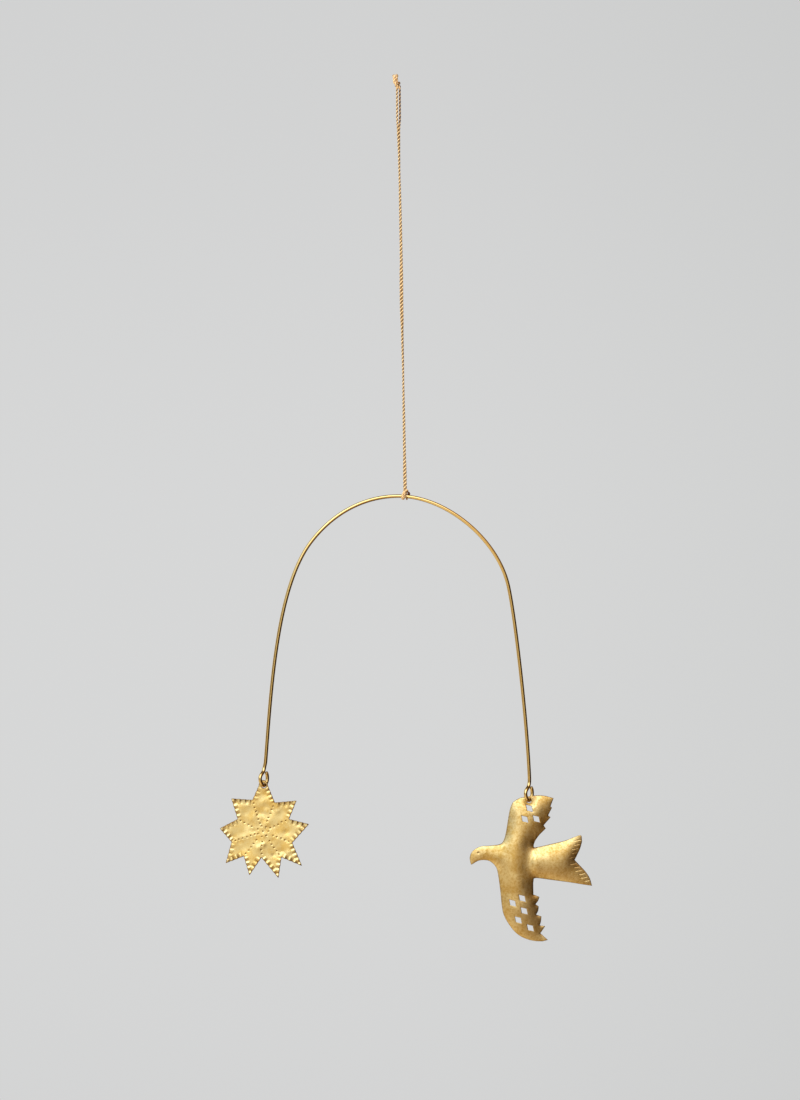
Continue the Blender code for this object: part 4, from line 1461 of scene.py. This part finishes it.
@dataclass
class TopKnot:
    """The tight knot over the hanging loop, with two short tails."""

    strand: TwistedStrand
    shades: tuple = (-0.1, 0.15, 0.7)

    def lines(self) -> list[list[Points]]:
        """Returns the two strands that pass through, and the turn that binds them."""
        left = [(-0.66, 0.0, -0.4), (-0.5, -0.3, 0.4), (-0.75, -0.8, 1.2), (-1.5, -0.95, 2.2),
                (-2.05, -0.6, 3.5), (-2.0, -0.35, 4.7), (-2.0, -0.2, 5.8), (-2.6, -0.15, 6.5)]
        right = [(0.66, 0.0, -0.4), (0.35, 0.1, 0.5), (0.0, 0.4, 1.5), (-0.4, 0.45, 2.7), (-0.8, 0.1, 4.0),
                 (-0.75, -0.05, 5.3), (-0.6, -0.1, 6.2), (-1.25, -0.1, 6.8)]
        bind = []
        for i in range(20):
            angle = math.radians(-200.0 + 20.0 * i)
            bind.append(row(-0.3 + 0.85 * math.cos(angle), 0.8 * math.sin(angle),
                            1.75 + 0.5 * math.cos(angle) + 0.02 * i))
        return [through(left, False, 6), through(right, False, 6), through(bind, False, 3)]

    def build(self, finish: bpy.types.Material) -> bpy.types.Object:
        """Makes the knot.

        Args:
            finish: Its material.

        Returns:
            The knot, riding on the hanger.
        """
        made = self.strand.join("tied_top_knot", self.lines(), finish, shades=self.shades)
        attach(made, "hanger")
        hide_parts("top_knot")
        return made


@dataclass
class ArchKnot:
    """The knot on the arch: turns round the wire, under two crossed loops."""

    strand: TwistedStrand
    wire: WireArch
    shades: tuple = (-0.1, 0.25, 0.6, 1.0, 0.05)
    # The front of each turn round the wire, as steps along it, towards the viewer and up, in wire radii
    fronts: tuple = (((-0.1, 0.35, 3.1), (-0.95, 0.9, 2.2), (-1.5, 1.5, 0.9), (-1.6, 1.45, -0.6)),
                     ((0.0, 0.6, 2.7), (-0.35, 1.25, 1.6), (-0.45, 1.65, 0.4), (-0.85, 1.35, -0.9)),
                     ((0.45, 0.3, 2.6), (0.35, 1.15, 1.7), (0.15, 1.6, 0.5), (0.9, 1.25, -0.9)))

    def places(self, steps: list) -> list[Points]:
        """Returns places from their steps along the wire, towards the viewer and up, in wire radii."""
        middle, way = self.wire.under_cord()
        near = row(0, -1, 0)
        up = np.cross(way, near)
        up *= np.sign(up[2])
        size = self.wire.thick / 2
        return [middle + (way * along + near * out + up * high) * size for along, out, high in steps]

    def lines(self) -> list[list[Points]]:
        """Returns the turns round the wire, the loop beside them and the band over them."""
        made = []
        for front in self.fronts:
            foot = front[-1][0]
            turn = [*front, (foot + 0.1, 0.3, -1.5), (foot + 0.15, -1.1, -1.15), (foot * 0.9, -1.6, 0.2),
                    (foot * 0.6, -1.1, 1.5), (foot * 0.3, -0.3, 2.4)]
            made.append(through(self.places(turn), False, 6))
        loop = [(0.2, 0.9, 2.7), (0.9, 0.6, 2.7), (1.6, 0.35, 2.3), (2.15, 0.0, 1.6), (2.1, -0.7, 1.25),
                (1.3, -1.3, 1.5)]
        made.append(through(self.places(loop), False, 6))
        band = [(1.0 * math.cos(a), 0.95 * math.sin(a), 3.15 + 0.2 * math.cos(a))
                for a in (math.radians(-60.0 + 25.0 * i) for i in range(18))]
        return [*made, self.places(band)]

    def build(self, finish: bpy.types.Material) -> bpy.types.Object:
        """Makes the knot.

        Args:
            finish: Its material.

        Returns:
            The knot, riding on the arch.
        """
        made = self.strand.join("arch_hitch", self.lines(), finish, shades=self.shades)
        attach(made, "arch")
        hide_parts("arch_knot")
        return made


# Studio

@dataclass(frozen=True)
class SoftLight:
    """A soft round patch of light in the room round the object.

    Its middle is at a turn to the right of the way to the camera and at a rise. It fades out at its reach.
    All three are in degrees.
    """

    turn: float
    rise: float
    reach: float
    strength: float
    colour: Colour

    def way(self) -> Vector:
        """Returns a unit step towards the middle of the patch."""
        turn, rise = math.radians(self.turn), math.radians(self.rise)
        return Vector((math.sin(turn) * math.cos(rise), -math.cos(turn) * math.cos(rise), math.sin(rise)))


# Tints of light: cool from the windows, warm from a lamp, cream off walls and floor
DAYLIGHT = (0.85, 1.0, 1.1)
WARM = (1.25, 0.8, 0.35)
CREAM = (1.05, 0.96, 0.72)


@dataclass
class Studio:
    """The pale room, its light and the camera that looks level at the mobile's front."""

    picture: tuple[int, int] = (800, 1100)
    mm_per_pixel: float = 0.5
    origin_pixel: tuple[float, float] = (398.35, 88.0)
    roll: float = 0.0168
    distance: float = 2.2
    sensor: float = 36.0
    room: float = 4.5
    floor: float = -3.4
    pale: Colour = (0.676, 0.680, 0.680)
    shaded: Colour = (0.630, 0.636, 0.633)
    core: float = 0.9986  # the cosine of the angle within which a patch has its full strength
    dim: Colour = (0.03, 0.018, 0.008)
    window: SoftLight = SoftLight(-15.0, 42.0, 45.0, 2.5, DAYLIGHT)
    side_window: SoftLight = SoftLight(-65.0, 40.0, 40.0, 1.0, DAYLIGHT)
    lamp: SoftLight = SoftLight(35.0, 40.0, 35.0, 0.7, WARM)
    wall_by_camera: SoftLight = SoftLight(-5.0, 0.0, 35.0, 0.7, CREAM)
    left_wall: SoftLight = SoftLight(-130.0, 0.0, 45.0, 0.6, CREAM)
    left_floor: SoftLight = SoftLight(-60.0, -45.0, 55.0, 1.0, CREAM)
    front_floor: SoftLight = SoftLight(25.0, -45.0, 40.0, 0.25, WARM)
    back_wall: SoftLight = SoftLight(180.0, 10.0, 60.0, 0.5, CREAM)

    @property
    def lights(self) -> tuple[SoftLight, ...]:
        """The room's lights."""
        return (self.window, self.side_window, self.lamp, self.wall_by_camera, self.left_wall,
                self.left_floor, self.front_floor, self.back_wall)

    def camera(self) -> bpy.types.Object:
        """Makes the camera at the photograph's angle.

        Returns:
            The camera.
        """
        cos, sin = math.cos(self.roll), math.sin(self.roll)
        across = self.picture[0] / 2 - self.origin_pixel[0]
        down = self.picture[1] / 2 - self.origin_pixel[1]
        scale = self.mm_per_pixel * MM
        aim = Vector(((across * cos - down * sin) * scale, 0.0, -(across * sin + down * cos) * scale))
        data = bpy.data.cameras.new("studio_camera")
        data.sensor_width = self.sensor
        data.lens = self.sensor * self.distance / (self.picture[1] * scale)
        data.clip_end = 50.0
        made = bpy.data.objects.new("studio_camera", data)
        bpy.context.scene.collection.objects.link(made)
        turn = Matrix(((cos, sin, 0.0), (0.0, 0.0, -1.0), (-sin, cos, 0.0)))
        made.matrix_world = Matrix.Translation(aim + Vector((0.0, -self.distance, 0.0))) @ turn.to_4x4()
        bpy.context.scene.camera = made
        return made

    def light(self) -> None:
        """Sets the light of the room: its soft patches, added to a dim warm glow from all round."""
        world = bpy.data.worlds.new("studio_light")
        world.use_nodes = True
        bpy.context.scene.world = world
        graph = Graph(world.node_tree)
        graph.tree.nodes.clear()
        way = graph.add("ShaderNodeTexCoord").outputs["Generated"]
        total = graph.add("ShaderNodeRGB")
        total.outputs[0].default_value = paint(self.dim)
        sum_so_far = total.outputs[0]
        for light in self.lights:
            towards = {0: way, 1: tuple(light.way())}
            facing = graph.add("ShaderNodeVectorMath", towards, operation="DOT_PRODUCT")
            edge = math.cos(math.radians(light.reach))
            patch = graph.range(facing.outputs["Value"], edge, self.core, 0.0, light.strength)
            tinted = graph.add("ShaderNodeVectorMath", {0: light.colour, 3: patch}, operation="SCALE")
            added = graph.add("ShaderNodeVectorMath", {0: sum_so_far, 1: tinted.outputs[0]}, operation="ADD")
            sum_so_far = added.outputs[0]
        glow = graph.add("ShaderNodeBackground", {0: sum_so_far})
        graph.add("ShaderNodeOutputWorld", {0: glow.outputs[0]})

    def paper(self) -> bpy.types.Object:
        """Makes the pale floor, sweeping up into a wall all round.

        Returns:
            The sweep, which only the camera sees.
        """
        sides, bow = 96, 10
        profile = [(0.0, self.floor), (self.room * 0.55, self.floor)]
        for i in range(1, bow + 1):
            angle = math.pi / 2 * i / bow
            profile.append((self.room * (0.55 + 0.45 * math.sin(angle)),
                            self.floor + self.room * 0.45 * (1 - math.cos(angle))))
        wall, brow, crown = (1.0, 0.8), (0.7, 1.15), (0.0, 1.25)
        profile += [(self.room * radius, self.room * level) for radius, level in (wall, brow, crown)]
        vertices, faces = [], []
        for radius, level in profile:
            vertices += [(max(radius, 1e-3) * math.cos(a), max(radius, 1e-3) * math.sin(a), level)
                         for a in (2 * math.pi * k / sides for k in range(sides))]
        for i in range(len(profile) - 1):
            faces += [(i * sides + k, i * sides + (k + 1) % sides, (i + 1) * sides + (k + 1) % sides,
                       (i + 1) * sides + k) for k in range(sides)]
        made = mesh_object("paper_sweep", np.array(vertices) / MM, faces,
                           PaperFinish("studio_paper", self.pale, self.shaded).build())
        for ray in ("diffuse", "glossy", "transmission", "shadow"):
            setattr(made, f"visible_{ray}", False)
        return made

    def build(self) -> None:
        """Sets up the camera, the light, the sweep and plain colours."""
        self.camera()
        self.light()
        self.paper()
        scene = bpy.context.scene
        scene.view_settings.view_transform = "Standard"
        scene.view_settings.look = "None"


def main() -> None:
    """Builds the studio, then each piece, and reports them."""
    logging.basicConfig(level=logging.INFO, format="%(name)s: %(message)s")
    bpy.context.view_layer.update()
    Studio().build()
    effects = SharedEffects.build()
    wire_brass = BrassFinish(
        "drawn_brass", bright=(0.82, 0.58, 0.25), warm=(0.7, 0.44, 0.15), brown=(0.2, 0.09, 0.025),
        patch_scale=45.0, patches=0.35, freckles=0.2, roughness=0.14, spread=0.06,
        scratch_scale=3.0, scratch_stretch=(1.0, 1.0, 0.02), scratch_height=0.003,
        grain_height=0.001, coords="drawn").build(effects)
    # The star's brass is paler and brighter than the bird's, which is darker and browner: partly a different
    # tone, partly painted light and shade for how much light each catches.
    star_brass = BrassFinish(
        "hammered_brass", bright=(1.0, 0.8, 0.4), warm=(0.9, 0.6, 0.19), brown=(0.2, 0.075, 0.015),
        patch_scale=150.0, patches=0.9, freckles=0.35, roughness=0.33, spread=0.1,
        scratch_scale=500.0, scratch_stretch=(1.0, 1.0, 0.5), scratch_height=0.01,
        grain_height=0.003).build(effects)
    bird_brass = BrassFinish(
        "rubbed_brass", bright=(0.86, 0.64, 0.31), warm=(0.6, 0.36, 0.1), brown=(0.2, 0.09, 0.02),
        patch_scale=100.0, patches=0.75, freckles=0.6, roughness=0.36, spread=0.16,
        scratch_scale=480.0, scratch_stretch=(1.0, 1.0, 0.45), scratch_height=0.05,
        grain_height=0.008).build(effects)
    thread = ThreadFinish(
        "gold_thread", light=(1.0, 0.74, 0.41), dark=(1.0, 0.64, 0.29), deep=(0.075, 0.015, 0.002),
        roughness=0.34, metal=0.4, sheen=0.3, height=0.05).build(effects)
    knot_thread = ThreadFinish(
        "knot_thread", light=(1.0, 0.74, 0.42), dark=(0.95, 0.56, 0.24), deep=(0.12, 0.035, 0.008),
        roughness=0.38, metal=0.4, sheen=0.3, height=0.05).build(effects)
    wire, strand = WireArch(), TwistedStrand()
    top_strand = TwistedStrand(thick=1.42, turn=3.6, fats=(0.36, 0.34), darks=(-0.1, 0.1), lean=0.0)
    arch_strand = TwistedStrand(thick=1.0, turn=3.0, fats=(0.36, 0.34), darks=(-0.2, 0.0), lean=0.0)
    knots = [TopKnot(top_strand).build(knot_thread), ArchKnot(arch_strand, wire).build(knot_thread)]
    pieces = [*knots, *DoubledCord(strand, wire).build(thread, knots), wire.build(wire_brass)]
    pieces.append(HammeredStar(pivot=wire.pivot(Pendant.STAR)).build(star_brass))
    pieces.append(PiercedBird(pivot=wire.pivot(Pendant.BIRD)).build(bird_brass))
    for piece in pieces:
        log.info("%s: %d points, %d faces", piece.name, len(piece.data.vertices), len(piece.data.polygons))


if __name__ == "__main__":
    main()
